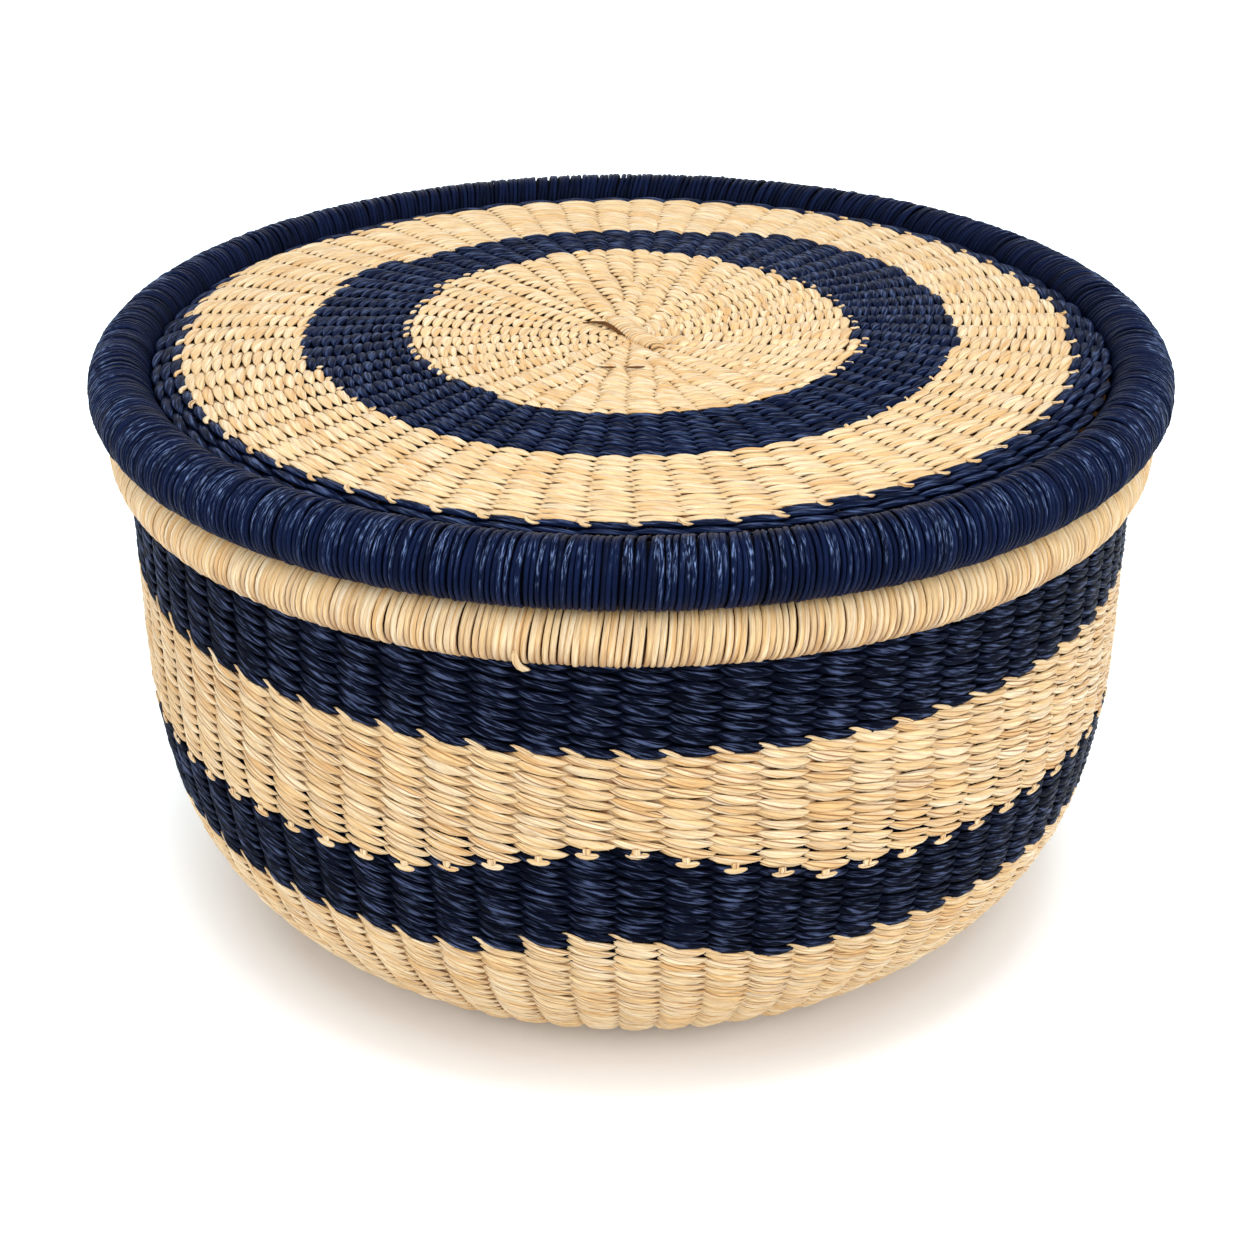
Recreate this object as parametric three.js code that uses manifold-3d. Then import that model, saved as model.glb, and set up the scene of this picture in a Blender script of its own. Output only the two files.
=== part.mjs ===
// A round lidded basket of twined grass, in millimetres, with +Z up.
// The origin is the centre of the flat base, and the front of the basket faces -Y.
// The wall, the base and the lid are each three layers deep: a layer of weft, the stakes, a layer of weft.

import * as THREE from 'three';
import { mergeVertices } from 'three/addons/utils/BufferGeometryUtils.js';
import Module from 'manifold-3d';

const wasm = await Module();
wasm.setup();

// Clearance between pieces that touch, and between the straight stakes and the faceted weft round them
const SEAT = 0.3;
const STAKE_CLEARANCE = 0.5;

// Weave
const WEFT_THICKNESS = 2.5;
const STAKE_THICKNESS = 2;
const STAKE_WIDTH = 4;

// The weft's faces stand in ribs over the stakes, with valleys of this depth between them
const RIB_DEPTH = 1.4;

// Bowl, measured on the outer face of its wall
const BOWL_STAKE_PAIRS = 37;
const WALL_RADIUS = 216.4;
const STRAIGHT_WALL = 71;
const FLARE_RADIUS = 297;
const BELLY_RADIUS = 106;
const BELLY_TURN = THREE.MathUtils.degToRad(34.5);
const HEEL_RADIUS = 89;
const HEEL_TURN = THREE.MathUtils.degToRad(44);

// Colour bands of the bowl, as widths along the wall from the rim down
const UPPER_NAVY_WIDTH = 34;
const MIDDLE_NATURAL_WIDTH = 62;
const LOWER_NAVY_WIDTH = 36;

// The two lower borders climb to a peak at the front
const MIDDLE_BORDER_RISE = 21;
const LOWER_BORDER_RISE = 15;
const PEAK_HALF_ANGLE = THREE.MathUtils.degToRad(19.5);

// Bowl rim: the middle of its tube lies inside the wall's face
const BOWL_RIM_INSET = 5;
const BOWL_RIM_TUBE = 12.7;
const BOWL_LASHING_THICKNESS = 2.2;

// Loose end of the bowl's lashing
const TAIL_ANGLE = THREE.MathUtils.degToRad(-10.3);
const TAIL_WIDTH = 4;
const TAIL_THICKNESS = 2;
const TAIL_START = THREE.MathUtils.degToRad(20);
const TAIL_END = THREE.MathUtils.degToRad(55);
const TAIL_DROP = 4.5;

// Lid rim: the middle of its tube lies outside the middle of the bowl's
const LID_OVERHANG = 4.6;
const LID_RIM_TUBE = 14;
const LID_LASHING_THICKNESS = 2;

// Lid rings from the rim inwards, with the heights of their edges above the middle of the rim
const LID_STAKE_PAIRS = 22;
const LID_BORDER_WIDTH = 8.7;
const LID_BORDER_EDGE_HEIGHT = 6;
const LID_NATURAL_WIDTH = 51;
const LID_NATURAL_EDGE_HEIGHT = 8.6;
const LID_NAVY_WIDTH = 48;
const LID_NAVY_EDGE_HEIGHT = 10.4;
const LID_CENTRE_EDGE_HEIGHT = 12.5;
const LID_CENTRE_HEIGHT = 6.4;

// Facets
const BOWL_FACETS = BOWL_STAKE_PAIRS;
const LID_FACETS = 36;
const FLARE_STEPS = 1;
const BELLY_STEPS = 2;
const HEEL_STEPS = 2;
const SLEEVE_SIDES = 12;
const BORE_SIDES = 10;
const CORE_SIDES = 8;
const TAIL_SIDES = 8;
const TAIL_STEPS = 6;

// Stakes in the bowl, in the lid's centre, and in its outer rings where each pair has one more
const BOWL_STAKES = 2 * BOWL_STAKE_PAIRS;
const LID_INNER_STAKES = 2 * LID_STAKE_PAIRS;
const LID_OUTER_STAKES = 3 * LID_STAKE_PAIRS;

// Depth of each layer below the face of the weave
const STAKE_DEPTH = WEFT_THICKNESS + STAKE_CLEARANCE;
const INNER_WEFT_DEPTH = STAKE_DEPTH + STAKE_THICKNESS + STAKE_CLEARANCE;

const natural = { color: 0xe2c08a, roughness: 0.7, metalness: 0 };
const navy = { color: 0x1a2750, roughness: 0.55, metalness: 0 };
const stake = { color: 0xcaa56c, roughness: 0.8, metalness: 0 };

// Shared helpers

function piece(name, geometry, finish) {
  const mesh = new THREE.Mesh(geometry, new THREE.MeshStandardMaterial(finish));
  mesh.name = name;
  return mesh;
}

// Keeps positions only, merges shared corners and drops the triangles that collapse on the axis
function weld(geometry) {
  const plain = new THREE.BufferGeometry();
  plain.setAttribute('position', geometry.getAttribute('position'));
  plain.setIndex(geometry.getIndex());
  const merged = mergeVertices(plain, 1e-4);
  const index = merged.getIndex().array;
  const kept = [];
  for (let i = 0; i < index.length; i += 3) {
    const [a, b, c] = index.slice(i, i + 3);
    if (a !== b && b !== c && c !== a) {
      kept.push(a, b, c);
    }
  }
  merged.setIndex(kept);
  return merged;
}

function toManifold(geometry) {
  const solid = weld(geometry);
  return new wasm.Manifold(new wasm.Mesh({
    numProp: 3,
    vertProperties: new Float32Array(solid.getAttribute('position').array),
    triVerts: new Uint32Array(solid.getIndex().array),
  }));
}

function fromManifold(solid) {
  const mesh = solid.getMesh();
  const geometry = new THREE.BufferGeometry();
  geometry.setAttribute('position', new THREE.BufferAttribute(mesh.vertProperties, 3));
  geometry.setIndex(new THREE.BufferAttribute(mesh.triVerts, 1));
  return geometry;
}

function join(geometries) {
  return fromManifold(wasm.Manifold.union(geometries.map(toManifold)));
}

// A point at an angle from the front, turning towards +X
function around(angle, radius, height) {
  return new THREE.Vector3(radius * Math.sin(angle), -radius * Math.cos(angle), height);
}

// A lathe about Z whose section may change from column to column; sections run counter-clockwise
function turned(sectionAt, facets) {
  const geometry = new THREE.LatheGeometry(sectionAt(0), facets);
  geometry.rotateX(Math.PI / 2);
  const position = geometry.getAttribute('position');
  const rows = position.count / (facets + 1);
  for (let column = 0; column <= facets; column += 1) {
    const angle = 2 * Math.PI * (column % facets) / facets;
    sectionAt(angle).forEach((point, row) => {
      const moved = around(angle, point.x, point.y);
      position.setXYZ(column * rows + row, moved.x, moved.y, moved.z);
    });
  }
  return weld(geometry);
}

// Depth of a ribbed face at an angle, with a crest over each stake and a valley half way to the next
function ribValley(angle, ribs) {
  return RIB_DEPTH * (1 - Math.cos(ribs * angle)) / 2;
}

// A bar of triangular section through a list of stations, each with its place and two directions
function bar(stations, width, thickness) {
  const positions = [];
  for (const { place, across, inward } of stations) {
    const corners = [
      place.clone().addScaledVector(across, -width / 2),
      place.clone().addScaledVector(across, width / 2),
      place.clone().addScaledVector(inward, thickness),
    ];
    corners.forEach((corner) => positions.push(corner.x, corner.y, corner.z));
  }
  const index = [0, 1, 2];
  for (let ring = 0; ring + 1 < stations.length; ring += 1) {
    for (let side = 0; side < 3; side += 1) {
      const a = 3 * ring + side;
      const b = 3 * ring + (side + 1) % 3;
      index.push(a, b + 3, b, a, a + 3, b + 3);
    }
  }
  const last = 3 * (stations.length - 1);
  index.push(last, last + 2, last + 1);
  const geometry = new THREE.BufferGeometry();
  geometry.setAttribute('position', new THREE.Float32BufferAttribute(positions, 3));
  geometry.setIndex(index);
  return geometry;
}

// Bowl profile: the wall's face from its top edge down to the middle of the base

const FLARE_TURN = Math.PI / 2 - BELLY_TURN - HEEL_TURN;
const FLARE_LENGTH = FLARE_RADIUS * FLARE_TURN;
const BELLY_LENGTH = BELLY_RADIUS * BELLY_TURN;
const HEEL_LENGTH = HEEL_RADIUS * HEEL_TURN;

const wallArcs = [
  { radius: FLARE_RADIUS, turn: FLARE_TURN },
  { radius: BELLY_RADIUS, turn: BELLY_TURN },
  { radius: HEEL_RADIUS, turn: HEEL_TURN },
];

// Radius, height and slope of the wall's face, a length below its top edge. Slope 0 is upright
function wallFace(length) {
  let radius = WALL_RADIUS;
  let height = -Math.min(length, STRAIGHT_WALL);
  let left = length - STRAIGHT_WALL;
  let slope = 0;
  for (const arc of wallArcs) {
    if (left <= 0) {
      break;
    }
    const next = slope + Math.min(left / arc.radius, arc.turn);
    radius -= arc.radius * (Math.cos(slope) - Math.cos(next));
    height -= arc.radius * (Math.sin(next) - Math.sin(slope));
    left -= arc.radius * arc.turn;
    slope = next;
  }
  return { radius, height, slope };
}

const WALL_LENGTH = STRAIGHT_WALL + FLARE_LENGTH + BELLY_LENGTH + HEEL_LENGTH;
const WALL_TOP = -wallFace(WALL_LENGTH).height;

// The same face moved inward by a depth, as a point of a section
function wallPoint(length, depth) {
  const face = wallFace(length);
  return new THREE.Vector2(
    face.radius - depth * Math.cos(face.slope),
    WALL_TOP + face.height + depth * Math.sin(face.slope),
  );
}

function evenStops(from, to, steps) {
  const stops = [];
  for (let step = 1; step <= steps; step += 1) {
    stops.push(from + (to - from) * step / steps);
  }
  return stops;
}

// Lengths below the wall's top where its section turns or a colour ends, at an angle from the front
function wallStops(angle) {
  const fromFront = Math.min(angle, 2 * Math.PI - angle);
  const peak = Math.max(0, 1 - fromFront / PEAK_HALF_ANGLE);
  const first = UPPER_NAVY_WIDTH;
  const second = first + MIDDLE_NATURAL_WIDTH - MIDDLE_BORDER_RISE * peak;
  const third = first + MIDDLE_NATURAL_WIDTH + LOWER_NAVY_WIDTH - LOWER_BORDER_RISE * peak;
  const heel = WALL_LENGTH - HEEL_LENGTH;
  return {
    upper: [0, first],
    middle: [first, ...evenStops(first, STRAIGHT_WALL, FLARE_STEPS), second],
    lower: [second, third],
    base: [third, ...evenStops(third, heel, BELLY_STEPS), ...evenStops(heel, WALL_LENGTH, HEEL_STEPS)],
  };
}

// Pulls the two ends of a band's run back, so that neighbouring bands keep their clearance
function trimmed(stops, atTop, atBottom) {
  const cut = [...stops];
  cut[0] += atTop;
  cut[cut.length - 1] -= atBottom;
  return cut;
}

// The wall's face with its ribs, which end where it meets the flat base
function ribbedWall(stops, depth, valley) {
  return stops.map((length) => {
    const full = Math.min(1, 2 * Math.cos(wallFace(length).slope));
    return wallPoint(length, depth + valley * full);
  });
}

function bandSection(stops, depth, valley) {
  const outer = ribbedWall(stops, depth, valley).reverse();
  const inner = stops.map((length) => wallPoint(length, depth + WEFT_THICKNESS));
  return [...outer, ...inner, outer[0]];
}

function baseSection(stops, depth, valley) {
  const outer = ribbedWall(stops, depth, valley).reverse();
  const inner = stops.map((length) => wallPoint(length, depth + WEFT_THICKNESS));
  return [
    new THREE.Vector2(0, depth),
    ...outer,
    ...inner,
    new THREE.Vector2(0, depth + WEFT_THICKNESS),
  ];
}

// Bowl weft: an outer, ribbed layer and an inner, smooth layer of each colour band

const half = SEAT / 2;
const bands = [
  { name: 'upper_navy', key: 'upper', trim: [0, half], section: bandSection, finish: navy },
  { name: 'middle_natural', key: 'middle', trim: [half, half], section: bandSection, finish: natural },
  { name: 'lower_navy', key: 'lower', trim: [half, half], section: bandSection, finish: navy },
  { name: 'base', key: 'base', trim: [half, 0], section: baseSection, finish: natural },
];

function bowlWeft() {
  const meshes = [];
  for (const band of bands) {
    const stopsAt = (angle) => trimmed(wallStops(angle)[band.key], ...band.trim);
    const outer = (angle) => band.section(stopsAt(angle), 0, ribValley(angle, BOWL_STAKES));
    const inner = (angle) => band.section(stopsAt(angle), INNER_WEFT_DEPTH, 0);
    meshes.push(piece(`${band.name}_weft_outer`, turned(outer, 2 * BOWL_STAKES), band.finish));
    meshes.push(piece(`${band.name}_weft_inner`, turned(inner, BOWL_FACETS), band.finish));
  }
  return meshes;
}

// Bowl stakes: bars that follow the faceted weft, joined by the pad where they cross under the base

const BOWL_RIM_RADIUS = WALL_RADIUS - BOWL_RIM_INSET;
const BOWL_RIM_HEIGHT = WALL_TOP + BOWL_RIM_TUBE + SEAT;
const BOWL_CORE_RADIUS = BOWL_RIM_TUBE - BOWL_LASHING_THICKNESS - SEAT;
const BOWL_PAD_RADIUS = BOWL_STAKES * STAKE_WIDTH / (2 * Math.PI) + STAKE_WIDTH;

// Face of the stake layer on one facet corner, as world points from the rim core to the pad
function stakeLine(angle) {
  const stops = wallStops(angle);
  const lengths = [
    stops.upper[0],
    ...stops.middle.slice(1),
    ...stops.lower.slice(1),
    ...stops.base.slice(1),
  ];
  const wall = lengths.map((length) => wallPoint(length, STAKE_DEPTH));
  wall[0].y = BOWL_RIM_HEIGHT - BOWL_CORE_RADIUS - SEAT;
  wall.push(new THREE.Vector2(BOWL_PAD_RADIUS - STAKE_WIDTH / 2, STAKE_DEPTH));
  const slopes = [...lengths.map((length) => wallFace(length).slope), Math.PI / 2];
  return wall.map((point, row) => ({ point: around(angle, point.x, point.y), slope: slopes[row] }));
}

function bowlStake(number) {
  const corner = 2 * Math.PI / BOWL_FACETS;
  const low = stakeLine(corner * Math.floor(number / 2) % (2 * Math.PI));
  const high = stakeLine(corner * (Math.ceil(number / 2) % BOWL_FACETS));
  const angle = corner * number / 2;
  const across = around(angle + Math.PI / 2, 1, 0);
  const stations = low.map(({ point, slope }, row) => ({
    place: point.clone().lerp(high[row].point, 0.5),
    across,
    inward: around(angle, -Math.cos(slope), Math.sin(slope)),
  }));
  return bar(stations, STAKE_WIDTH, STAKE_THICKNESS);
}

// The disc in which the stakes cross, between the heights of its underside in the middle and at its edge
function pad(radius, middle, edge, facets) {
  const section = [
    new THREE.Vector2(0, middle),
    new THREE.Vector2(radius, edge),
    new THREE.Vector2(radius, edge + STAKE_THICKNESS),
    new THREE.Vector2(0, middle + STAKE_THICKNESS),
  ];
  return turned(() => section, facets);
}

function bowlStakes() {
  const bars = [];
  for (let number = 0; number < BOWL_STAKES; number += 1) {
    bars.push(bowlStake(number));
  }
  bars.push(pad(BOWL_PAD_RADIUS, STAKE_DEPTH, STAKE_DEPTH, BOWL_FACETS));
  return piece('bowl_stakes', join(bars), stake);
}

// Rims: a core hoop inside a lashing sleeve, which is slit where the weave's stakes enter

function ringPoint(rim, angle, distance) {
  return new THREE.Vector2(
    rim.radius + distance * Math.cos(angle),
    rim.height + distance * Math.sin(angle),
  );
}

// Angles of a sleeve's outer corners, with one at the contact angle and one at each lip of the slit
function sleeveAngles(rim, from, to) {
  const step = 2 * Math.PI / SLEEVE_SIDES;
  const angles = [from];
  const first = rim.contact - step * Math.floor((rim.contact - from) / step);
  for (let angle = first; angle < to; angle += step) {
    if (angle - from > step / 4 && to - angle > step / 4) {
      angles.push(angle);
    }
  }
  angles.push(to);
  return angles;
}

function lashing(name, rim, finish) {
  const from = rim.slit + rim.slitHalf;
  const to = rim.slit + 2 * Math.PI - rim.slitHalf;
  const outer = sleeveAngles(rim, from, to).map((angle) => ringPoint(rim, angle, rim.tube));
  const step = (to - from) / BORE_SIDES;
  const bore = (rim.core + SEAT) / Math.cos(step / 2);
  const inner = [];
  for (let side = 0; side <= BORE_SIDES; side += 1) {
    inner.push(ringPoint(rim, to - step * side, bore));
  }
  const section = [...outer, ...inner, outer[0]];
  return piece(name, turned(() => section, rim.facets), finish);
}

function rimCore(name, rim) {
  const section = [];
  for (let side = 0; side <= CORE_SIDES; side += 1) {
    section.push(ringPoint(rim, 2 * Math.PI * (side % CORE_SIDES) / CORE_SIDES, rim.core));
  }
  return piece(name, turned(() => section, rim.facets), stake);
}

// The lid's rim stands on the bowl's rim, a little further out
const RIM_SPACING = LID_RIM_TUBE + BOWL_RIM_TUBE + SEAT;
const LID_RIM_RADIUS = BOWL_RIM_RADIUS + LID_OVERHANG;
const CONTACT_ANGLE = Math.acos(LID_OVERHANG / RIM_SPACING);
const LID_HEIGHT = BOWL_RIM_HEIGHT + RIM_SPACING * Math.sin(CONTACT_ANGLE);
const LID_CORE_RADIUS = LID_RIM_TUBE - LID_LASHING_THICKNESS - SEAT;

// Half the angle that a slit needs to pass the stakes
function slitHalf(core) {
  return Math.asin((STAKE_THICKNESS / 2 + 2 * STAKE_CLEARANCE) / core);
}

const bowlStakeOffset = BOWL_RIM_INSET - STAKE_DEPTH - STAKE_THICKNESS / 2;
const bowlRim = {
  radius: BOWL_RIM_RADIUS,
  height: BOWL_RIM_HEIGHT,
  tube: BOWL_RIM_TUBE,
  core: BOWL_CORE_RADIUS,
  contact: CONTACT_ANGLE,
  slit: -Math.PI / 2 + Math.asin(bowlStakeOffset / BOWL_CORE_RADIUS),
  slitHalf: slitHalf(BOWL_CORE_RADIUS),
  facets: BOWL_FACETS,
};

const lidStakeOffset = LID_BORDER_EDGE_HEIGHT - STAKE_DEPTH - STAKE_THICKNESS / 2;
const lidRim = {
  radius: LID_RIM_RADIUS,
  height: LID_HEIGHT,
  tube: LID_RIM_TUBE,
  core: LID_CORE_RADIUS,
  contact: CONTACT_ANGLE + Math.PI,
  slit: Math.PI - Math.asin(lidStakeOffset / LID_CORE_RADIUS),
  slitHalf: slitHalf(LID_CORE_RADIUS),
  facets: LID_FACETS,
};

// Loose end of the bowl's lashing, lying on the outside of the rim and pointing down
function lashingTail() {
  const distance = BOWL_RIM_TUBE + SEAT + TAIL_THICKNESS / 2;
  const start = ringPoint(bowlRim, -TAIL_START, distance);
  const middle = ringPoint(bowlRim, -(TAIL_START + TAIL_END) / 2, distance);
  const end = ringPoint(bowlRim, -TAIL_END, distance);
  const tip = new THREE.Vector2(end.x, end.y - TAIL_DROP);
  const path = new THREE.CatmullRomCurve3(
    [start, middle, end, tip].map((point) => around(0, point.x, point.y)),
  );
  const section = new THREE.Shape();
  for (let side = 0; side < TAIL_SIDES; side += 1) {
    const angle = 2 * Math.PI * side / TAIL_SIDES;
    const x = TAIL_WIDTH / 2 * Math.cos(angle);
    const y = TAIL_THICKNESS / 2 * Math.sin(angle);
    if (side === 0) {
      section.moveTo(x, y);
    } else {
      section.lineTo(x, y);
    }
  }
  section.closePath();
  const strand = new THREE.ExtrudeGeometry(section, { extrudePath: path, steps: TAIL_STEPS });
  const mesh = piece('lashing_tail', weld(strand), natural);
  mesh.rotation.z = TAIL_ANGLE;
  return mesh;
}

// Lid weft: a ribbed top layer and a smooth under layer of each colour ring

const LID_EDGE_RADIUS = LID_RIM_RADIUS - LID_RIM_TUBE - SEAT;
const LID_NATURAL_RADIUS = LID_EDGE_RADIUS - LID_BORDER_WIDTH;
const LID_NAVY_RADIUS = LID_NATURAL_RADIUS - LID_NATURAL_WIDTH;
const LID_CENTRE_RADIUS = LID_NAVY_RADIUS - LID_NAVY_WIDTH;

const lidRings = [
  {
    name: 'lid_centre',
    ribs: LID_INNER_STAKES,
    radius: LID_CENTRE_RADIUS,
    height: LID_CENTRE_EDGE_HEIGHT,
    finish: natural,
  },
  {
    name: 'lid_navy',
    ribs: LID_OUTER_STAKES,
    radius: LID_NAVY_RADIUS,
    height: LID_NAVY_EDGE_HEIGHT,
    finish: navy,
  },
  {
    name: 'lid_natural',
    ribs: LID_OUTER_STAKES,
    radius: LID_NATURAL_RADIUS,
    height: LID_NATURAL_EDGE_HEIGHT,
    finish: natural,
  },
  {
    name: 'lid_border',
    ribs: LID_OUTER_STAKES,
    radius: LID_EDGE_RADIUS,
    height: LID_BORDER_EDGE_HEIGHT,
    finish: navy,
  },
];

// Height of the lid's upper face at a radius, which runs on at the same slope past the last ring
function lidFace(radius) {
  const place = lidRings.findIndex((ring) => radius <= ring.radius);
  const at = place < 0 ? lidRings.length - 1 : place;
  const ring = lidRings[at];
  const from = at > 0 ? lidRings[at - 1] : { radius: 0, height: LID_CENTRE_HEIGHT };
  const share = (radius - from.radius) / (ring.radius - from.radius);
  return LID_HEIGHT + from.height + (ring.height - from.height) * share;
}

function lidPoint(radius, depth) {
  return new THREE.Vector2(radius, lidFace(radius) - depth);
}

// Share of its radius that a circle keeps at an angle when it is cut to the lid rim's facets
function facetShare(angle) {
  const corner = 2 * Math.PI / LID_FACETS;
  const fromMiddle = angle % corner - corner / 2;
  return Math.cos(corner / 2) / Math.cos(fromMiddle);
}

// A ring between two radii; the one that starts on the axis has no valleys there
function lidRingSection(from, to, depth, valley) {
  const low = depth + WEFT_THICKNESS;
  const outside = [lidPoint(from, low), lidPoint(to, low), lidPoint(to, depth + valley)];
  if (from === 0) {
    return [...outside, lidPoint(from, depth)];
  }
  return [...outside, lidPoint(from, depth + valley), outside[0]];
}

function lidWeft() {
  const meshes = [];
  let from = 0;
  for (const ring of lidRings) {
    const begin = from;
    const atRim = ring.radius === LID_EDGE_RADIUS;
    const end = (angle) => (atRim ? ring.radius * facetShare(angle) : ring.radius - half);
    const top = (angle) => lidRingSection(begin, end(angle), 0, ribValley(angle, ring.ribs));
    const under = lidRingSection(begin, end(0), INNER_WEFT_DEPTH, 0);
    meshes.push(piece(`${ring.name}_weft_top`, turned(top, 2 * ring.ribs), ring.finish));
    meshes.push(piece(`${ring.name}_weft_under`, turned(() => under, LID_FACETS), ring.finish));
    from = ring.radius + half;
  }
  return meshes;
}

// Lid stakes: straight spokes in the centre disc, fanned out over the navy ring with one more to each pair

// Clear of the core's facets, which lie inside its circle
const LID_STAKE_END = (LID_RIM_RADIUS - LID_CORE_RADIUS) * Math.cos(Math.PI / LID_FACETS) - SEAT;
const LID_PAD_RADIUS = LID_INNER_STAKES * STAKE_WIDTH / (2 * Math.PI) + STAKE_WIDTH;

function lidStake(innerAngle, outerAngle, startRadius) {
  const run = [
    { radius: startRadius, angle: innerAngle },
    { radius: LID_CENTRE_RADIUS, angle: innerAngle },
    { radius: LID_NAVY_RADIUS, angle: outerAngle },
    { radius: LID_NATURAL_RADIUS, angle: outerAngle },
    { radius: LID_STAKE_END, angle: outerAngle },
  ];
  const stations = run.map(({ radius, angle }) => ({
    place: around(angle, radius, lidFace(radius) - STAKE_DEPTH),
    across: around(angle - Math.PI / 2, 1, 0),
    inward: new THREE.Vector3(0, 0, -1),
  }));
  return bar(stations.reverse(), STAKE_WIDTH, STAKE_THICKNESS);
}

function lidStakes() {
  const inner = 2 * Math.PI / LID_INNER_STAKES;
  const outer = 2 * Math.PI / LID_OUTER_STAKES;
  const bars = [];
  for (let pair = 0; pair < LID_STAKE_PAIRS; pair += 1) {
    const first = 2 * pair * inner;
    bars.push(lidStake(first, first, LID_PAD_RADIUS - STAKE_WIDTH / 2));
    bars.push(lidStake(first + inner, first + 2 * outer, LID_PAD_RADIUS - STAKE_WIDTH / 2));
    bars.push(lidStake(first, first + outer, LID_CENTRE_RADIUS - STAKE_WIDTH));
  }
  const padDepth = STAKE_DEPTH + STAKE_THICKNESS;
  bars.push(pad(LID_PAD_RADIUS, lidFace(0) - padDepth, lidFace(LID_PAD_RADIUS) - padDepth, LID_FACETS));
  return piece('lid_stakes', join(bars), stake);
}

// Assembly

const bowl = new THREE.Group();
bowl.add(bowlStakes());
bowlWeft().forEach((mesh) => bowl.add(mesh));
bowl.add(rimCore('bowl_rim_core', bowlRim));
bowl.add(lashing('bowl_rim_lashing', bowlRim, natural));
bowl.add(lashingTail());

const lid = new THREE.Group();
lid.add(lidStakes());
lidWeft().forEach((mesh) => lid.add(mesh));
lid.add(rimCore('lid_rim_core', lidRim));
lid.add(lashing('lid_rim_lashing', lidRim, navy));

const basket = new THREE.Group();
basket.add(bowl, lid);

export default basket;
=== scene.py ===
"""Looks for a round lidded basket of twined grass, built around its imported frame.

Every size is in metres. An angle is measured from the front of the basket, which faces -Y, and turns
towards +X. A line is a distance along the weave: down from the top of the wall on the bowl, and out from
the middle on the lid. A stitch is the stretch of one strand that lies on a face of the weave between two
valleys, and its two ends dive into the weave.
"""

import logging
import math
from dataclasses import dataclass, field, replace
from enum import Enum
from typing import Protocol, Self

import bpy
import numpy as np
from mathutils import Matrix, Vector


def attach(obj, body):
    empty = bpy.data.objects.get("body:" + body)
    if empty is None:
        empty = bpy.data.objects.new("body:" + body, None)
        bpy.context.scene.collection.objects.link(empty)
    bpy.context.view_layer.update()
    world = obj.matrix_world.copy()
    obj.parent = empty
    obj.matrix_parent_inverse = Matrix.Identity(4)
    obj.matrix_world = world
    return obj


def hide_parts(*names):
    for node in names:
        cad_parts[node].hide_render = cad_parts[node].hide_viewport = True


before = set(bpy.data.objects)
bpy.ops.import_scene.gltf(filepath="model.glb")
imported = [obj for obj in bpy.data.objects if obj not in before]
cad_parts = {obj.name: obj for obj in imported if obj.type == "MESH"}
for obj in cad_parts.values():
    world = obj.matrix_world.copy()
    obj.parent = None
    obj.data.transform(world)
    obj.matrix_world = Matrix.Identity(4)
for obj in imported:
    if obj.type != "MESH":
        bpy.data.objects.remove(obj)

MM = 0.001
TURN = 2 * math.pi
log = logging.getLogger("basket")

Array = np.ndarray
Random = np.random.Generator
Socket = bpy.types.NodeSocket
Color = tuple[float, float, float, float]
Value = Socket | float | Color


class Grass(Enum):
    """The colours that the grass comes in."""

    NATURAL = "natural"
    NAVY = "navy"
    LID_NAVY = "the lid's navy"


class Face(Enum):
    """The two faces of a weave."""

    SHOWN = "shown"
    HIDDEN = "hidden"


# Reading the frame


def node_points(node: str) -> Array:
    """Gives the corners of a CAD node.

    Args:
        node: The node's name.

    Returns:
        An array of points, one row each.
    """
    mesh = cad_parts[node].data
    points = np.empty(3 * len(mesh.vertices))
    mesh.vertices.foreach_get("co", points)
    return points.reshape(-1, 3)


@dataclass(frozen=True)
class Reach:
    """How far a CAD node reaches from the axis and up."""

    inner: float
    outer: float
    low: float
    high: float

    @classmethod
    def of(cls, node: str) -> Self:
        """Measures a node.

        Args:
            node: The node's name.

        Returns:
            How far it reaches.
        """
        points = node_points(node)
        radius = np.hypot(points[:, 0], points[:, 1])
        height = points[:, 2]
        return cls(radius.min(), radius.max(), height.min(), height.max())

    @property
    def middle_radius(self) -> float:
        """The radius half way between the node's two edges."""
        return (self.inner + self.outer) / 2

    @property
    def middle_height(self) -> float:
        """The height half way up the node."""
        return (self.low + self.high) / 2


def top_height(node: str, radius: float, same: float = 0.1 * MM) -> float:
    """Gives the height of a node's upper face near a radius.

    Args:
        node: The node's name.
        radius: Where to measure, as a distance from the axis.
        same: How much further away than the nearest corner a corner may be and still count.

    Returns:
        The highest corner at the corners nearest to that radius.
    """
    points = node_points(node)
    away = np.abs(np.hypot(points[:, 0], points[:, 1]) - radius)
    return points[away < away.min() + same, 2].max()


# The faces that the weave lies on


class Weavable(Protocol):
    """A face of revolution that stitches can be laid on."""

    thickness: float

    def face(self, line: Array) -> tuple[Array, Array, Array]:
        """Gives the radius, the height and the slope of the face at each line."""


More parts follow.
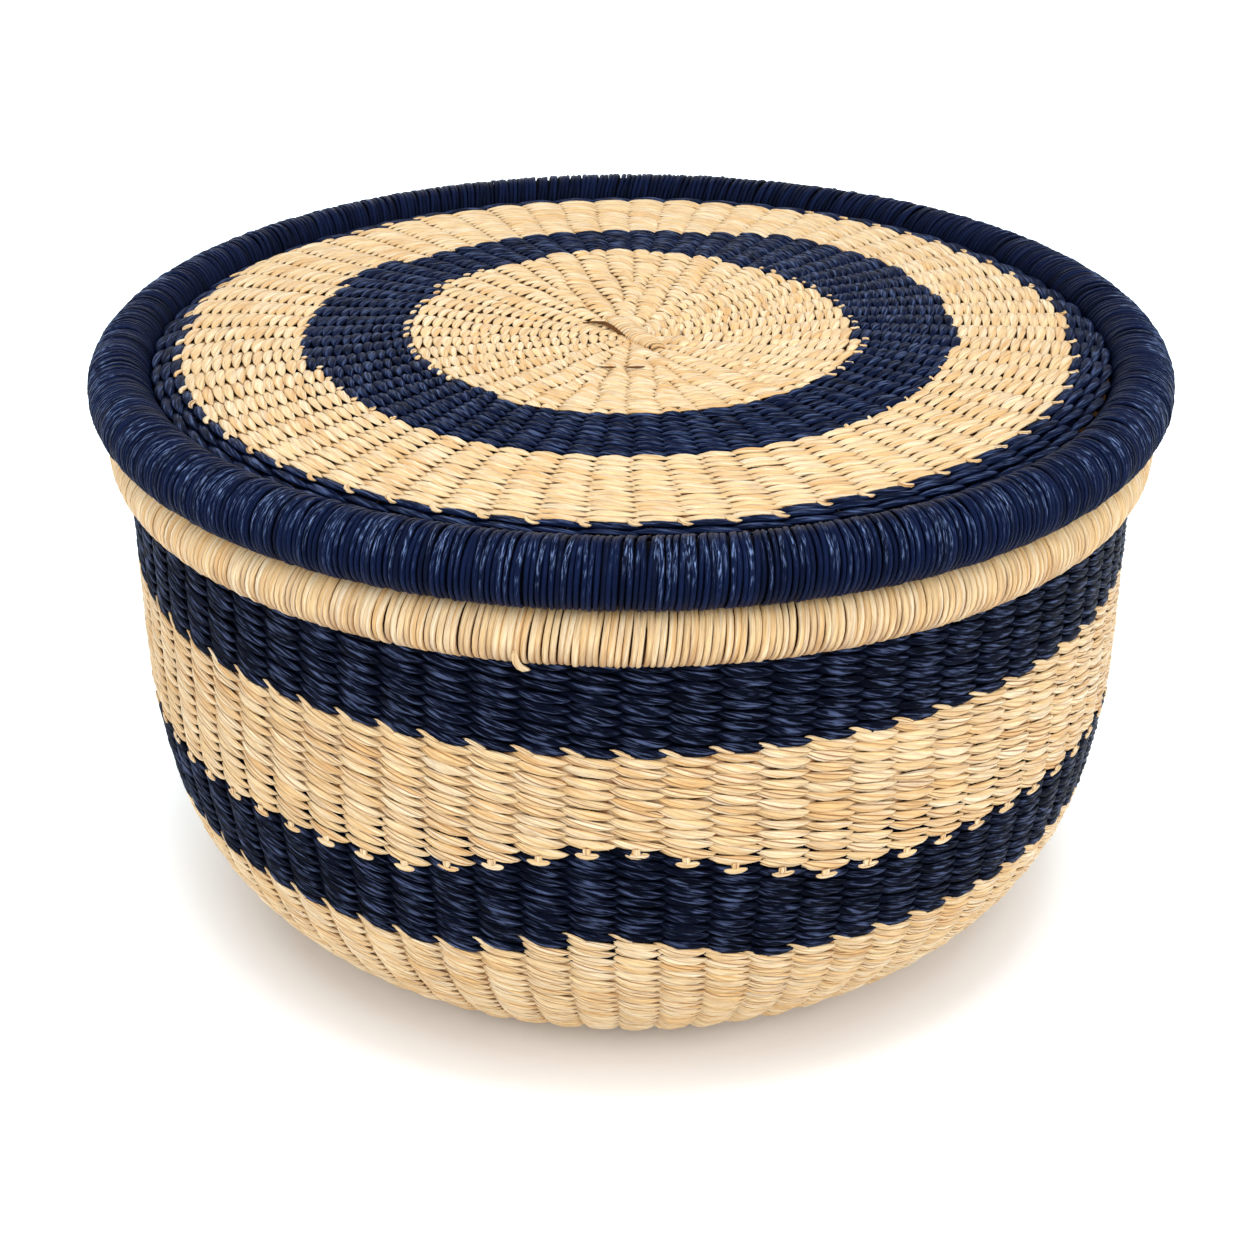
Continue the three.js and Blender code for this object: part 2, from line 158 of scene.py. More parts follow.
@dataclass(frozen=True)
class WallFace:
    """The outer face of the bowl: a straight wall, three arcs that turn it under, and the flat base.

    Attributes:
        radius: The radius of the straight wall.
        top: The height of its upper edge.
        thickness: The thickness of the weave.
        straight: How far down the wall is straight.
        arcs: The radius and the angle of each arc, from the top down.
    """

    radius: float
    top: float
    thickness: float
    straight: float = 71 * MM
    arcs: tuple[tuple[float, float], ...] = (
        (297 * MM, math.radians(11.5)),
        (106 * MM, math.radians(34.5)),
        (89 * MM, math.radians(44)),
    )

    def face(self, line: Array) -> tuple[Array, Array, Array]:
        """Follows the face down from the top of the wall.

        Args:
            line: Distances along the face from its top.

        Returns:
            The radius, the height and the slope there. Slope 0 is upright.
        """
        radius = np.full_like(line, self.radius)
        height = self.top - np.minimum(line, self.straight)
        slope = np.zeros_like(line)
        left = line - self.straight
        for arc, turn in self.arcs:
            after = slope + np.clip(left / arc, 0, turn)
            radius = radius - arc * (np.cos(slope) - np.cos(after))
            height = height - arc * (np.sin(after) - np.sin(slope))
            left = left - arc * turn
            slope = after
        return radius - np.maximum(left, 0), height, slope

    @property
    def length(self) -> float:
        """The distance along the face from the top of the wall to the middle of the base."""
        curved = self.straight + sum(arc * turn for arc, turn in self.arcs)
        return curved + float(self.face(np.array([curved]))[0][0])


@dataclass(frozen=True)
class LidFace:
    """The upper face of the lid, straight between the edges of its colour rings.

    Attributes:
        radii: The radii of those edges, from the middle out.
        heights: Their heights.
        thickness: The thickness of the weave.
    """

    radii: tuple[float, ...]
    heights: tuple[float, ...]
    thickness: float

    def face(self, line: Array) -> tuple[Array, Array, Array]:
        """Gives the radius, the height and the slope at each line. The slope counts as level."""
        return line, np.interp(line, self.radii, self.heights), np.full_like(line, -math.pi / 2)


@dataclass(frozen=True)
class Waver:
    """The small waves of a hand-made weave, which shift its lines and its columns.

    Attributes:
        seed: Picks the waves.
        along: How far they shift a line.
        around: How far they shift an angle.
        lean: How far the columns have turned to one side at line 0.
        lean_reach: The line from which they run straight.
        waves: How many waves there are.
        wavelength: How long they are along the weave.
    """

    seed: int
    along: float = 0.35 * MM
    around: float = math.radians(0.16)
    lean: float = 0.0
    lean_reach: float = 50 * MM
    waves: int = 7
    wavelength: float = 75 * MM

    def shift(self, angle: Array, line: Array) -> tuple[Array, Array]:
        """Moves points of a weave by its waves.

        Args:
            angle: The angles of the points.
            line: The lines of the points.

        Returns:
            The moved angles and lines.
        """
        rng = np.random.default_rng(self.seed)
        more_angle = self.lean * np.clip(1 - line / self.lean_reach, 0, 1)
        more_line = np.zeros_like(line)
        for _ in range(self.waves):
            lobes = rng.integers(1, 9)
            phase, climb = rng.uniform(0, TURN, 2)
            size_along, size_around = rng.uniform(0.3, 1, 2) / math.sqrt(self.waves)
            wave = lobes * angle + phase
            more_line = more_line + self.along * size_along * np.sin(wave)
            more_angle = more_angle + self.around * size_around * np.sin(
                wave + line * TURN / self.wavelength + climb
            )
        return angle + more_angle, line + more_line


# Columns


def ease(share: Array) -> Array:
    """Turns a share of the way into a smooth one, from 0 to 1."""
    share = np.clip(share, 0, 1)
    return share * share * (3 - 2 * share)


@dataclass
class Columns:
    """The columns of stitches over the stakes. Some split in two where more stakes were slipped in.

    Attributes:
        stages: The radius from which each number of columns holds, from the inside out.
        centre: The angle of one valley in the last stage.
        settling: The distance over which the columns even out after a split.
    """

    stages: tuple[tuple[float, int], ...]
    centre: float
    settling: float = 22 * MM
    _runs: list[tuple[float, Array, Array]] = field(default_factory=list)

    def __post_init__(self) -> None:
        """Works out the valleys of every stage."""
        first_radius, count = self.stages[0]
        even = TURN * np.arange(count) / count
        self._runs.append((first_radius, even, even))
        for radius, count in self.stages[1:]:
            before = self._runs[-1][2]
            more = count - len(before)
            split = ((np.arange(more) + 0.5) * len(before) / more).astype(int)
            ends = np.append(before, before[0] + TURN)
            start = np.sort(np.append(before, (ends[split] + ends[split + 1]) / 2))
            even = TURN * np.arange(count) / count
            self._runs.append((radius, start, even + (start - even).mean()))
        turn = self.centre - self._runs[-1][2][0]
        self._runs = [(radius, start + turn, end + turn) for radius, start, end in self._runs]

    def valleys(self, radius: float) -> Array:
        """Finds the valleys between the columns.

        Args:
            radius: The radius to look at.

        Returns:
            The angles of the valleys, in rising order.
        """
        for from_radius, start, end in reversed(self._runs):
            if radius >= from_radius:
                break
        return start + (end - start) * ease(np.array((radius - from_radius) / self.settling))

    def at(self, radius: float) -> tuple[Array, Array]:
        """Measures the columns.

        Args:
            radius: The radius to look at.

        Returns:
            The angle of the middle of every column, and the angle that it spans.
        """
        valleys = self.valleys(radius)
        ends = np.append(valleys[1:], valleys[0] + TURN)
        return (valleys + ends) / 2, ends - valleys


# Strands


@dataclass(frozen=True)
class MeshParts:
    """The numbers that one mesh of closed tubes is made of.

    Attributes:
        points: Its points.
        quads: The faces of the tubes' walls.
        caps: The faces that close their ends.
        maps: Its maps, with one row for each corner of the quads and then of the caps.
        values: Its values for each point.
    """

    points: Array
    quads: Array
    caps: Array
    maps: dict[str, Array]
    values: dict[str, Array]


def pairs(first: Array, second: Array) -> Array:
    """Puts two arrays side by side as pairs."""
    return np.stack(np.broadcast_arrays(first, second), axis=-1)


def tube_faces(count: int, stations: int, sides: int) -> tuple[Array, Array]:
    """Joins rings of points into closed tubes.

    Args:
        count: The number of tubes.
        stations: The number of rings along each.
        sides: The number of points round each ring.

    Returns:
        The quads of the walls, and the faces that close the two ends.
    """
    ring, side = np.meshgrid(np.arange(stations - 1), np.arange(sides), indexing="ij")
    after = (side + 1) % sides
    here, there = ring * sides, (ring + 1) * sides
    quad = np.stack([here + side, there + side, there + after, here + after], axis=-1).reshape(-1, 4)
    first = np.arange(sides)
    last = (stations - 1) * sides + np.arange(sides)[::-1]
    step = (np.arange(count) * stations * sides)[:, None, None]
    quads = (quad[None] + step).reshape(-1, 4)
    caps = (np.stack([first, last])[None] + step).reshape(-1, sides)
    return quads, caps


def tube_maps(along: Array, sides: int, shape: float) -> dict[str, Array]:
    """Makes the two maps of closed tubes: one that follows the strand, and a clean one for baking.

    Args:
        along: The distance along the strand at each ring, with one row for each tube.
        sides: The number of points round each ring.
        shape: The length of a tube as a share of the distance round it.

    Returns:
        The two maps by name, each with one row for each corner of the quads and then of the caps.
    """
    count, stations = along.shape
    ring, side = np.meshgrid(np.arange(stations - 1), np.arange(sides), indexing="ij")
    rings = np.stack([ring, ring + 1, ring + 1, ring], axis=-1).reshape(-1)
    turns = np.stack([side, side, side + 1, side + 1], axis=-1).reshape(-1) / sides
    rim = np.arange(sides) / sides
    ends = np.stack([pairs(along[:, [0]], rim), pairs(along[:, [-1]], rim[::-1])], axis=1)
    strand = [pairs(along[:, rings], turns), ends]

    # In the clean map each tube has a cell, with its walls in the middle and a cap at each end
    cap_room, edge, cap_size, cap_middle = 0.09, 0.05, 0.03, 0.04
    columns = max(1, round(math.sqrt(count / shape)))
    cells = np.array([columns, math.ceil(count / columns)])
    cell = pairs(np.arange(count) % columns, np.arange(count) // columns)[:, None]
    walls = pairs(cap_room + (1 - 2 * cap_room) * rings / (stations - 1), edge + (1 - 2 * edge) * turns)
    circle = cap_size * pairs(np.cos(TURN * rim), np.sin(TURN * rim))
    caps = np.stack([circle + (cap_middle, 0.5), circle[::-1] + (1 - cap_middle, 0.5)])
    clean = [(cell + walls) / cells, (cell[:, None] + caps) / cells]
    return {
        name: np.concatenate([rows.reshape(-1, 2) for rows in chart])
        for name, chart in (("OFBake", clean), ("Strand", strand))
    }


@dataclass(frozen=True)
class Path:
    """The ways that many strands take, with one row for each strand and one column for each station.

    Attributes:
        middle: The points that the strands pass through.
        side: The direction across each strand, along the weave.
        out: The direction out of the weave.
        half_width: Half the width across.
        half_depth: Half the thickness.
        shade: How much painted shade the strand has there, from 0 to 1.
    """

    middle: Array
    side: Array
    out: Array
    half_width: Array
    half_depth: Array
    shade: Array


@dataclass(frozen=True)
class Strand:
    """The make of a strand: the fibres that show along it.

    Attributes:
        fibres: How many fibres lie round it.
        groove: The depth of the grooves between them, as a share of the thickness.
        twist: How far the fibres turn round it from end to end.
        shape: Its length as a share of the distance round it.
        lines: How dark the painted shade in the grooves between the fibres is.
    """

    fibres: int = 5
    groove: float = 0.26
    twist: float = math.radians(125)
    shape: float = 2.4
    lines: float = 1.0

    def along(self, path: Path, rng: Random) -> MeshParts:
        """Sweeps a grooved and closed tube along every way.

        Args:
            path: The ways.
            rng: The source of the small differences.

        Returns:
            The numbers of one mesh that holds every tube.
        """
        twist_spread, fibre_spread, fibre_limit = 0.15, 0.07, 0.15
        narrowing, underside_shade, weakest_line, strongest_line = 0.3, 0.74, 0.65, 1.1
        count, stations = path.middle.shape[:2]
        sides = 2 * self.fibres
        number = np.arange(sides)
        groove = self.groove * (number % 2)
        turned = self.twist * np.linspace(0, 1, stations) * rng.normal(1, twist_spread, (count, 1))
        turned = turned + rng.uniform(0, TURN, (count, 1))
        about = TURN * number / sides - turned[..., None]
        uneven = rng.normal(0, fibre_spread, (count, 1, sides)).clip(-fibre_limit, fibre_limit)
        across = path.half_width[..., None] * (1 - narrowing * groove) * np.cos(about)
        up = path.half_depth[..., None] * (1 + uneven - groove) * np.sin(about)
        points = path.middle[:, :, None] + across[..., None] * path.side[:, :, None]
        points = points + up[..., None] * path.out[:, :, None]

        steps = np.linalg.norm(np.diff(path.middle, axis=1), axis=2)
        reached = np.concatenate([np.zeros((count, 1)), np.cumsum(steps, axis=1)], axis=1)
        maps = tube_maps(reached + rng.uniform(0, 1, (count, 1)), sides, self.shape)
        tone = rng.uniform(0, 1, (count, 1, 1))
        # Painted shade on the side towards the weave, added to the path's own painted shade
        crease = underside_shade / 2 * (1 - np.sin(about)) + path.shade[..., None]
        # Painted shade in the grooves between the fibres
        line = self.lines * (number % 2) * rng.uniform(weakest_line, strongest_line, (count, 1, sides))
        values = {"tone": tone, "crease": np.clip(crease, 0, 1), "groove": line}
        return MeshParts(
            points.reshape(-1, 3), *tube_faces(count, stations, sides), maps,
            {name: np.broadcast_to(value, about.shape).reshape(-1) for name, value in values.items()},
        )


def merge(parts: list[MeshParts]) -> MeshParts:
    """Joins the numbers of several meshes whose tubes have the same number of sides.

    Args:
        parts: The meshes to join.

    Returns:
        One mesh. The clean map is laid out again in bands, one for each mesh.
    """
    if len(parts) == 1:
        return parts[0]
    starts = np.cumsum([0] + [len(part.points) for part in parts])
    sizes = np.array([len(part.quads) for part in parts], dtype=float)
    share = sizes / sizes.sum()
    floor = np.concatenate([[0], np.cumsum(share)[:-1]])

    def chart(name: str) -> Array:
        """Joins one map of all the meshes.

        Args:
            name: The map's name.

        Returns:
            Its rows, with those of the walls before those of the caps, as the faces are.
        """
        walls, ends = [], []
        for part, low, high in zip(parts, floor, share):
            rows = part.maps[name]
            if name == "OFBake":
                rows = rows * (1, high) + (0, low)
            walls.append(rows[: part.quads.size])
            ends.append(rows[part.quads.size :])
        return np.concatenate(walls + ends)

    return MeshParts(
        np.concatenate([part.points for part in parts]),
        np.concatenate([part.quads + start for part, start in zip(parts, starts)]),
        np.concatenate([part.caps + start for part, start in zip(parts, starts)]),
        {name: chart(name) for name in parts[0].maps},
        {name: np.concatenate([part.values[name] for part in parts]) for name in parts[0].values},
    )


def mesh_from(name: str, parts: MeshParts) -> bpy.types.Mesh:
    """Makes a smooth mesh with its maps and its values for each point.

    Args:
        name: The mesh's name.
        parts: What it is made of.

    Returns:
        The mesh.
    """
    mesh = bpy.data.meshes.new(name)
    mesh.vertices.add(len(parts.points))
    mesh.vertices.foreach_set("co", parts.points.reshape(-1).astype(np.float32))
    corners = np.concatenate([parts.quads.reshape(-1), parts.caps.reshape(-1)])
    sizes = np.repeat([4, parts.caps.shape[1]], [len(parts.quads), len(parts.caps)])
    mesh.loops.add(len(corners))
    mesh.loops.foreach_set("vertex_index", corners.astype(np.int32))
    mesh.polygons.add(len(sizes))
    mesh.polygons.foreach_set("loop_start", (np.cumsum(sizes) - sizes).astype(np.int32))
    for map_name, rows in parts.maps.items():
        layer = mesh.uv_layers.new(name=map_name, do_init=False)
        layer.uv.foreach_set("vector", rows.reshape(-1).astype(np.float32))
    for value_name, values in parts.values.items():
        layer = mesh.attributes.new(value_name, "FLOAT", "POINT")
        layer.data.foreach_set("value", values.astype(np.float32))
    mesh.validate()
    mesh.update()
    mesh.shade_smooth()
    return mesh


def polar(radius: Array | float, angle: Array, height: Array | float) -> Array:
    """Turns a radius, an angle from the front and a height into points or directions."""
    return np.stack(np.broadcast_arrays(radius * np.sin(angle), -radius * np.cos(angle), height), axis=-1)


def under_face(weave: Weavable, angle: Array, line: Array, depth: Array | float) -> tuple[Array, ...]:
    """Goes down from the face of a weave.

    Args:
        weave: The face.
        angle: The angles of the places.
        line: Their lines.
        depth: How deep they lie.

    Returns:
        The points, the directions out of the weave, and the directions down along it.
    """
    radius, height, slope = weave.face(line)
    across, up = np.cos(slope), np.sin(slope)
    middle = polar(radius - depth * across, angle, height + depth * up)
    return middle, polar(across, angle, -up), polar(-up, angle, -across)


def square_side(middle: Array, out: Array) -> Array:
    """Gives the directions that are square to ways through points and to the directions out."""
    side = np.cross(np.gradient(middle, axis=1), out)
    return side / np.linalg.norm(side, axis=2, keepdims=True)


# Stitches


@dataclass(frozen=True)
class Template:
    """The shape of one stitch, as stations from its left end to its right end.

    Attributes:
        across: The stations, as shares of the column's width from its middle.
        drop: How far below its row the middle of the stitch lies at each station.
        half_width: Half the width of the stitch at each station.
        half_depth: Half the thickness of the stitch at each station.
        sink: How deep each station lies, as a share of the depth of the valleys between columns.
        strand: The strand that it is made of.
        proud: How far the stitch stands out of the face of the weave.
        shade_share: How much painted shade it has where it dives into the valleys.
        upright: Whether it runs down its column. Its stations are then distances, and its drops shares.
    """

    across: tuple[float, ...]
    drop: tuple[float, ...]
    half_width: tuple[float, ...]
    half_depth: tuple[float, ...]
    sink: tuple[float, ...]
    strand: Strand = Strand()
    proud: float = 0.0
    shade_share: float = 0.3
    upright: bool = False


def in_mm(*values: float) -> tuple[float, ...]:
    """Turns millimetres into metres."""
    return tuple(value * MM for value in values)


# The right end lies over the start of the next stitch, and the left end dives under its neighbour
WHOLE_STITCH = Template(
    across=(-0.63, -0.55, -0.44, -0.3, -0.12, 0.06, 0.24, 0.4, 0.52, 0.61),
    drop=in_mm(-2.35, -2.1, -1.7, -1.2, -0.7, -0.25, 0.1, 0.3, 0.4, 0.4),
    half_width=in_mm(0.5, 1.15, 1.6, 2.0, 2.3, 2.4, 2.2, 1.7, 1.0, 0.2),
    half_depth=in_mm(0.5, 0.7, 0.9, 1.05, 1.1, 1.1, 1.05, 0.9, 0.65, 0.25),
    sink=(2.0, 1.4, 0.85, 0.3, 0.0, 0.0, 0.1, 0.25, 0.55, 1.15),
    strand=Strand(fibres=6, groove=0.5, twist=math.radians(150)),
)

# The lid's strands lie flatter and closer together
LID_STITCH = replace(
    WHOLE_STITCH,
    half_width=in_mm(0.65, 1.25, 1.6, 1.9, 2.35, 2.5, 2.3, 1.8, 1.2, 0.3),
    half_depth=in_mm(0.4, 0.65, 0.8, 0.9, 0.95, 0.95, 0.9, 0.75, 0.5, 0.25),
    sink=(1.8, 1.25, 0.8, 0.35, 0.05, 0.0, 0.1, 0.3, 0.6, 1.15),
    strand=Strand(fibres=6, groove=0.45, twist=math.radians(150), lines=0.75),
    shade_share=0.18,
)

PLAIN_STITCH = Template(
    across=(-0.6, -0.42, -0.18, 0.1, 0.38, 0.593),
    drop=in_mm(-2.6, -1.9, -0.9, -0.1, 0.1, 0.05),
    half_width=in_mm(0.45, 1.6, 2.2, 2.4, 1.75, 0.2),
    half_depth=in_mm(0.5, 0.9, 1.05, 1.05, 0.9, 0.4),
    sink=(2.0, 0.85, 0.15, 0.0, 0.25, 1.2),
    strand=Strand(fibres=3, twist=math.radians(140)),
)

# A short end of the colour above, lying over the row below it in the middle of a column
HANGING_LENS = Template(
    across=(-0.245, -0.2, -0.12, 0.0, 0.12, 0.2, 0.24),
    drop=in_mm(-1.15, -0.85, -0.5, -0.35, -0.5, -0.85, -1.2),
    half_width=in_mm(0.3, 0.85, 1.3, 1.45, 1.3, 0.9, 0.3),
    half_depth=in_mm(0.3, 0.6, 0.8, 0.85, 0.8, 0.6, 0.3),
    sink=(0.3, 0.2, 0.05, 0.0, 0.0, 0.05, 0.1),
    strand=Strand(twist=math.radians(40)),
    proud=0.45 * MM,
)

# The bit of stake that shows above a hanging lens
LENS_NECK = Template(
    across=in_mm(-4.0, -3.4, -2.7, -1.9, -1.2),
    drop=(-0.01, -0.01, -0.01, -0.01, -0.01),
    half_width=in_mm(1.2, 1.6, 1.7, 1.6, 1.1),
    half_depth=in_mm(0.4, 0.6, 0.6, 0.6, 0.4),
    sink=(0.0, 0.0, 0.0, 0.0, 0.0),
    strand=Strand(groove=0.15, twist=0.0),
    proud=0.4 * MM,
    upright=True,
)

# The start of a strand of the colour below, coming out over the last row above it
RISING_TIP = Template(
    across=(-0.62, -0.54, -0.44, -0.33, -0.22, -0.1),
    drop=in_mm(-1.3, -1.0, -0.5, 0.1, 0.8, 1.7),
    half_width=in_mm(0.25, 0.75, 0.95, 1.0, 0.95, 0.5),
    half_depth=in_mm(0.3, 0.55, 0.65, 0.7, 0.65, 0.4),
    sink=(1.0, 0.85, 0.6, 0.4, 0.25, 0.3),
    strand=Strand(twist=math.radians(50)),
    proud=0.3 * MM,
)

# The same on the lid, as a short knob in the valley
KNOB = Template(
    across=(-0.47, -0.5, -0.53, -0.54, -0.52),
    drop=in_mm(0.4, 0.8, 1.5, 2.3, 3.1),
    half_width=in_mm(0.5, 1.2, 1.45, 1.3, 0.6),
    half_depth=in_mm(0.35, 0.7, 0.8, 0.7, 0.4),
    sink=(0.5, 0.5, 0.5, 0.6, 0.8),
    strand=Strand(fibres=3, groove=0.15, twist=math.radians(40)),
    proud=0.2 * MM,
)

# The end of a strand of the colour above, hooked round the first stitch below it beside the valley
HOOKED_END = Template(
    across=(0.35, 0.37, 0.41, 0.46, 0.53, 0.6, 0.65),
    drop=in_mm(-3.0, -2.0, -0.9, -0.1, 0.35, 0.4, 0.2),
    half_width=in_mm(0.5, 1.1, 1.3, 1.25, 1.05, 0.75, 0.2),
    half_depth=in_mm(0.4, 0.7, 0.85, 0.9, 0.8, 0.55, 0.25),
    sink=(0.3, 0.25, 0.25, 0.3, 0.4, 0.55, 0.8),
    strand=Strand(fibres=3, groove=0.15, twist=math.radians(50)),
    proud=0.35 * MM,
)


@dataclass
class StitchList:
    """Stitches of one template that are being gathered, row by row, for one face of a weave.

    Attributes:
        template: Their shape.
        face: The face that they lie on.
        rows: The angles, widths, lines, bulges and heights of the stitches in each row.
    """

    template: Template
    face: Face
    rows: list[tuple[Array, ...]] = field(default_factory=list)

    def add(self, angle: Array, width: Array, line: float, bulge: float, height: float) -> None:
        """Adds the stitches of one row, over columns with these middles and widths."""
        same = np.ones_like(angle)
        self.rows.append((angle, width, line * same, bulge * same, height * same))

    def columns(self) -> list[Array]:
        """Gives the angle, width, line, bulge and height of every stitch, each as one column."""
        return [np.concatenate(values)[:, None] for values in zip(*self.rows)]


@dataclass(frozen=True)
class StitchMaker:
    """Turns stitches into meshes on one weave.

    Attributes:
        weave: The face that they lie on.
        waver: The waves of the weave.
        sideways: How far a stitch strays along its row, as a share of the column's width.
        narrowest: The width of column from which a stitch has its whole slope.
    """

    weave: Weavable
    waver: Waver
    sideways: float = 0.024
    narrowest: float = 12 * MM

    def parts(self, stitches: StitchList, rng: Random) -> MeshParts:
        """Builds every stitch as a closed, grooved tube.

        Args:
            stitches: What to build.
            rng: The source of the small differences.

        Returns:
            The numbers of one mesh that holds them all.
        """

        def drawn(spread: float, middle: float = 0.0) -> Array:
            """Draws one number for each stitch."""
            return rng.normal(middle, spread, (len(angle), 1))

        tilt, stray, lift = in_mm(0.4, 0.13, 0.1)
        size_spread, shade_limit = 0.08, 1.6
        shape = stitches.template
        angle, width, line, bulge, tall = stitches.columns()
        across, drop = np.array(shape.across)[None], np.array(shape.drop)[None]
        if shape.upright:
            across, drop = drop, across
        else:
            across = across + drawn(self.sideways) * (1 - np.abs(across))
            drop = drop * np.minimum(1, self.weave.face(line)[0] * width / self.narrowest)
        drop = drop + drawn(tilt) * np.clip(-across, 0, 1)
        half_width = np.array(shape.half_width) * drawn(size_spread, 1).clip(0.8, 1.18) * tall
        half_depth = np.array(shape.half_depth) * drawn(size_spread, 1).clip(0.8, 1.2)
        sink = np.array(shape.sink)
        depth = bulge * sink - shape.proud + half_depth + drawn(lift)
        line = line + drop * tall + drawn(stray)
        outward = 1
        if stitches.face is Face.HIDDEN:
            outward = -1
            depth = self.weave.thickness - depth

        angle, line = self.waver.shift(angle + across * width * outward, line)
        middle, out, _ = under_face(self.weave, angle, line, depth)
        out = out * outward
        # Painted shade where the stitch dives into a valley, darker for deeper stations
        shade_share = shape.shade_share * np.minimum(sink, shade_limit)
        sizes = (np.broadcast_to(values, middle.shape[:2]) for values in (half_width, half_depth, shade_share))
        return shape.strand.along(Path(middle, square_side(middle, out), out, *sizes), rng)


@dataclass(frozen=True)
class RimSize:
    """The sizes of a rim's section.

    Attributes:
        radius: The radius of the rim's middle line.
        height: The height of that line.
        core: The thickness of the hoop inside the rim.
        tube: How far the turns reach from the middle line.
    """

    radius: float
    height: float
    core: float
    tube: float

    @classmethod
    def of(cls, body: str) -> Self:
        """Measures the rim of a CAD body.

        Args:
            body: The body's name.

        Returns:
            The sizes of its rim.
        """
        core, wound = Reach.of(f"{body}_rim_core"), Reach.of(f"{body}_rim_lashing")
        thickness = core.outer - core.inner
        return cls(core.middle_radius, core.middle_height, thickness, (wound.outer - wound.inner) / 2)

    def places(self, angle: Array, section: Array, reach: Array) -> tuple[Array, Array, Array]:
        """Gives places round the middle line.

        Args:
            angle: Their angles from the front.
            section: Their angles in the rim's section, up from straight out.
            reach: How far they are from the middle line.

        Returns:
            The points, the directions to one side along the rim, and the directions out of it.
        """
        across, up = np.cos(section), np.sin(section)
        middle = polar(self.radius + reach * across, angle, self.height + reach * up)
        side = polar(np.ones_like(angle), angle + math.pi / 2, np.zeros_like(angle))
        return middle, side, polar(across, angle, up)

    def hoop(self, stations: int = 181) -> MeshParts:
        """Builds the bundle of stems inside the rim.

        Args:
            stations: How many rings of points the hoop has.

        Returns:
            The numbers of one mesh.
        """
        angle = np.linspace(0, TURN, stations)[None]
        even = np.full(angle.shape, self.core / 2)
        middle, side, out = (
            polar(radius, angle, height)
            for radius, height in ((self.radius, self.height), (0.0, -1.0), (1.0, 0.0))
        )
        # The hoop is almost wholly painted shade, as it lies deep under the turns
        path = Path(middle, side, out, even, even, shade=np.full(angle.shape, 0.9))
        strand = Strand(fibres=8, groove=0.1, twist=math.radians(900), shape=20.0)
        return strand.along(path, np.random.default_rng(3))


WOUND_STRAND = Strand(fibres=4, groove=0.12, twist=math.radians(160), shape=14.0, lines=0.3)


@dataclass(frozen=True)
class Winding:
    """One strand wound round a rim, as many close turns of it.

    Attributes:
        rim: The rim.
        turns: How many turns there are.
        half_width: Half the width of the strand.
        half_depth: Half its thickness.
        join: Where each turn passes into the weave, as an angle up from straight out.
        lean: How far a turn leans to one side, as a share of the pitch.
        crossing: How far a turn strays to one side on top of the rim, as a share of the pitch.
        slant: How far all the turns slant, as a share of the pitch.
        sink: How far a turn lies under its neighbours at most.
        inward: How far the turns run on to one side down the rim's inner side, as a share of the pitch.
        stations: How many rings of points each turn has.
        strand: The make of the strand.
    """

    rim: RimSize
    turns: int
    half_width: float
    half_depth: float
    join: float
    lean: float
    crossing: float
    slant: float
    sink: float
    inward: float = 0.0
    stations: int = 24
    strand: Strand = WOUND_STRAND

    def parts(self, rng: Random, first: float, last: float) -> MeshParts:
        """Builds the turns between two shares of the way round.

        Args:
            rng: The source of the small differences.
            first: Where the turns begin, from 0 to 1.
            last: Where they end.

        Returns:
            The numbers of one mesh.
        """
        number = np.arange(round(first * self.turns), round(last * self.turns))[:, None]
        share = np.linspace(0, 1, self.stations)[None]
        section = self.join + TURN * share

        def drawn(spread: float, middle: float = 0.0) -> Array:
            """Draws one number for each turn."""
            return rng.normal(middle, spread, number.shape)

        def drawn_size(spread: float) -> Array:
            """Draws one share of a size for each turn."""
            return drawn(spread, 1).clip(0.85, 1.15)

        def wave(waves: float) -> Array:
            """Gives each turn a wave round the section that begins at a place of its own."""
            return np.sin(section * waves + rng.uniform(0, TURN, number.shape))

        def near(place: float, reach: float) -> Array:
            """Gives 1 at a place in the section, and less the further from there, both in degrees."""
            return np.exp(-(((section - math.radians(place)) / math.radians(reach)) ** 2))

        sway, stray, dip, widening = 0.45, 0.05, 0.35, 0.35
        width_spread, depth_spread, tuck = 0.07, 0.08, 0.8 * MM
        shade_at_join, shade_under, shade_away_from_light = 0.5, 0.25, 0.28
        inner_side, inner_reach = math.radians(75), math.radians(110)
        free = np.sin(math.pi * share) ** 0.7
        on_top = near(100, 40)
        aside = drawn(self.lean) * np.sin(section - math.pi / 2)
        aside = aside + drawn(self.lean * sway) * wave(2)
        aside = aside + drawn(stray)
        aside = aside + drawn(self.crossing) * on_top
        offset = free * (aside + self.slant * np.sin(section))
        offset = offset + self.inward * ease((section - inner_side) / inner_reach)
        angle = TURN / self.turns * (number + share + offset)
        sink = self.sink * rng.uniform(0, 1, number.shape) + dip * self.sink * wave(1.5)
        sink = np.maximum(sink, 0)
        half_width = self.half_width * drawn_size(width_spread) * (1 + width_spread * wave(1))
        half_width = half_width * (1 + widening * self.crossing * on_top)
        half_depth = self.half_depth * drawn_size(depth_spread)
        reach = self.rim.tube - sink - half_depth - tuck * (1 - free)
        angle, section, reach, half_depth = np.broadcast_arrays(angle, section, reach, half_depth)
        # Painted shade: darker where a turn dives into the weave and where it lies under its neighbours,
        # and darker away from the lit top of the rim, where the painted highlights keep to
        shade = shade_at_join * (1 - free) + shade_under * sink / self.sink + shade_away_from_light * (1 - near(60, 48))
        path = Path(*self.rim.places(angle, section, reach), half_width, half_depth, shade)
        return self.strand.along(path, rng)


# Finishes


def new_sockets(tree: bpy.types.NodeTree, side: str, kind: str, *names: str) -> None:
    """Adds named sockets of one kind to one side of a node group."""
    for name in names:
        tree.interface.new_socket(name=name, in_out=side, socket_type=f"NodeSocket{kind}")


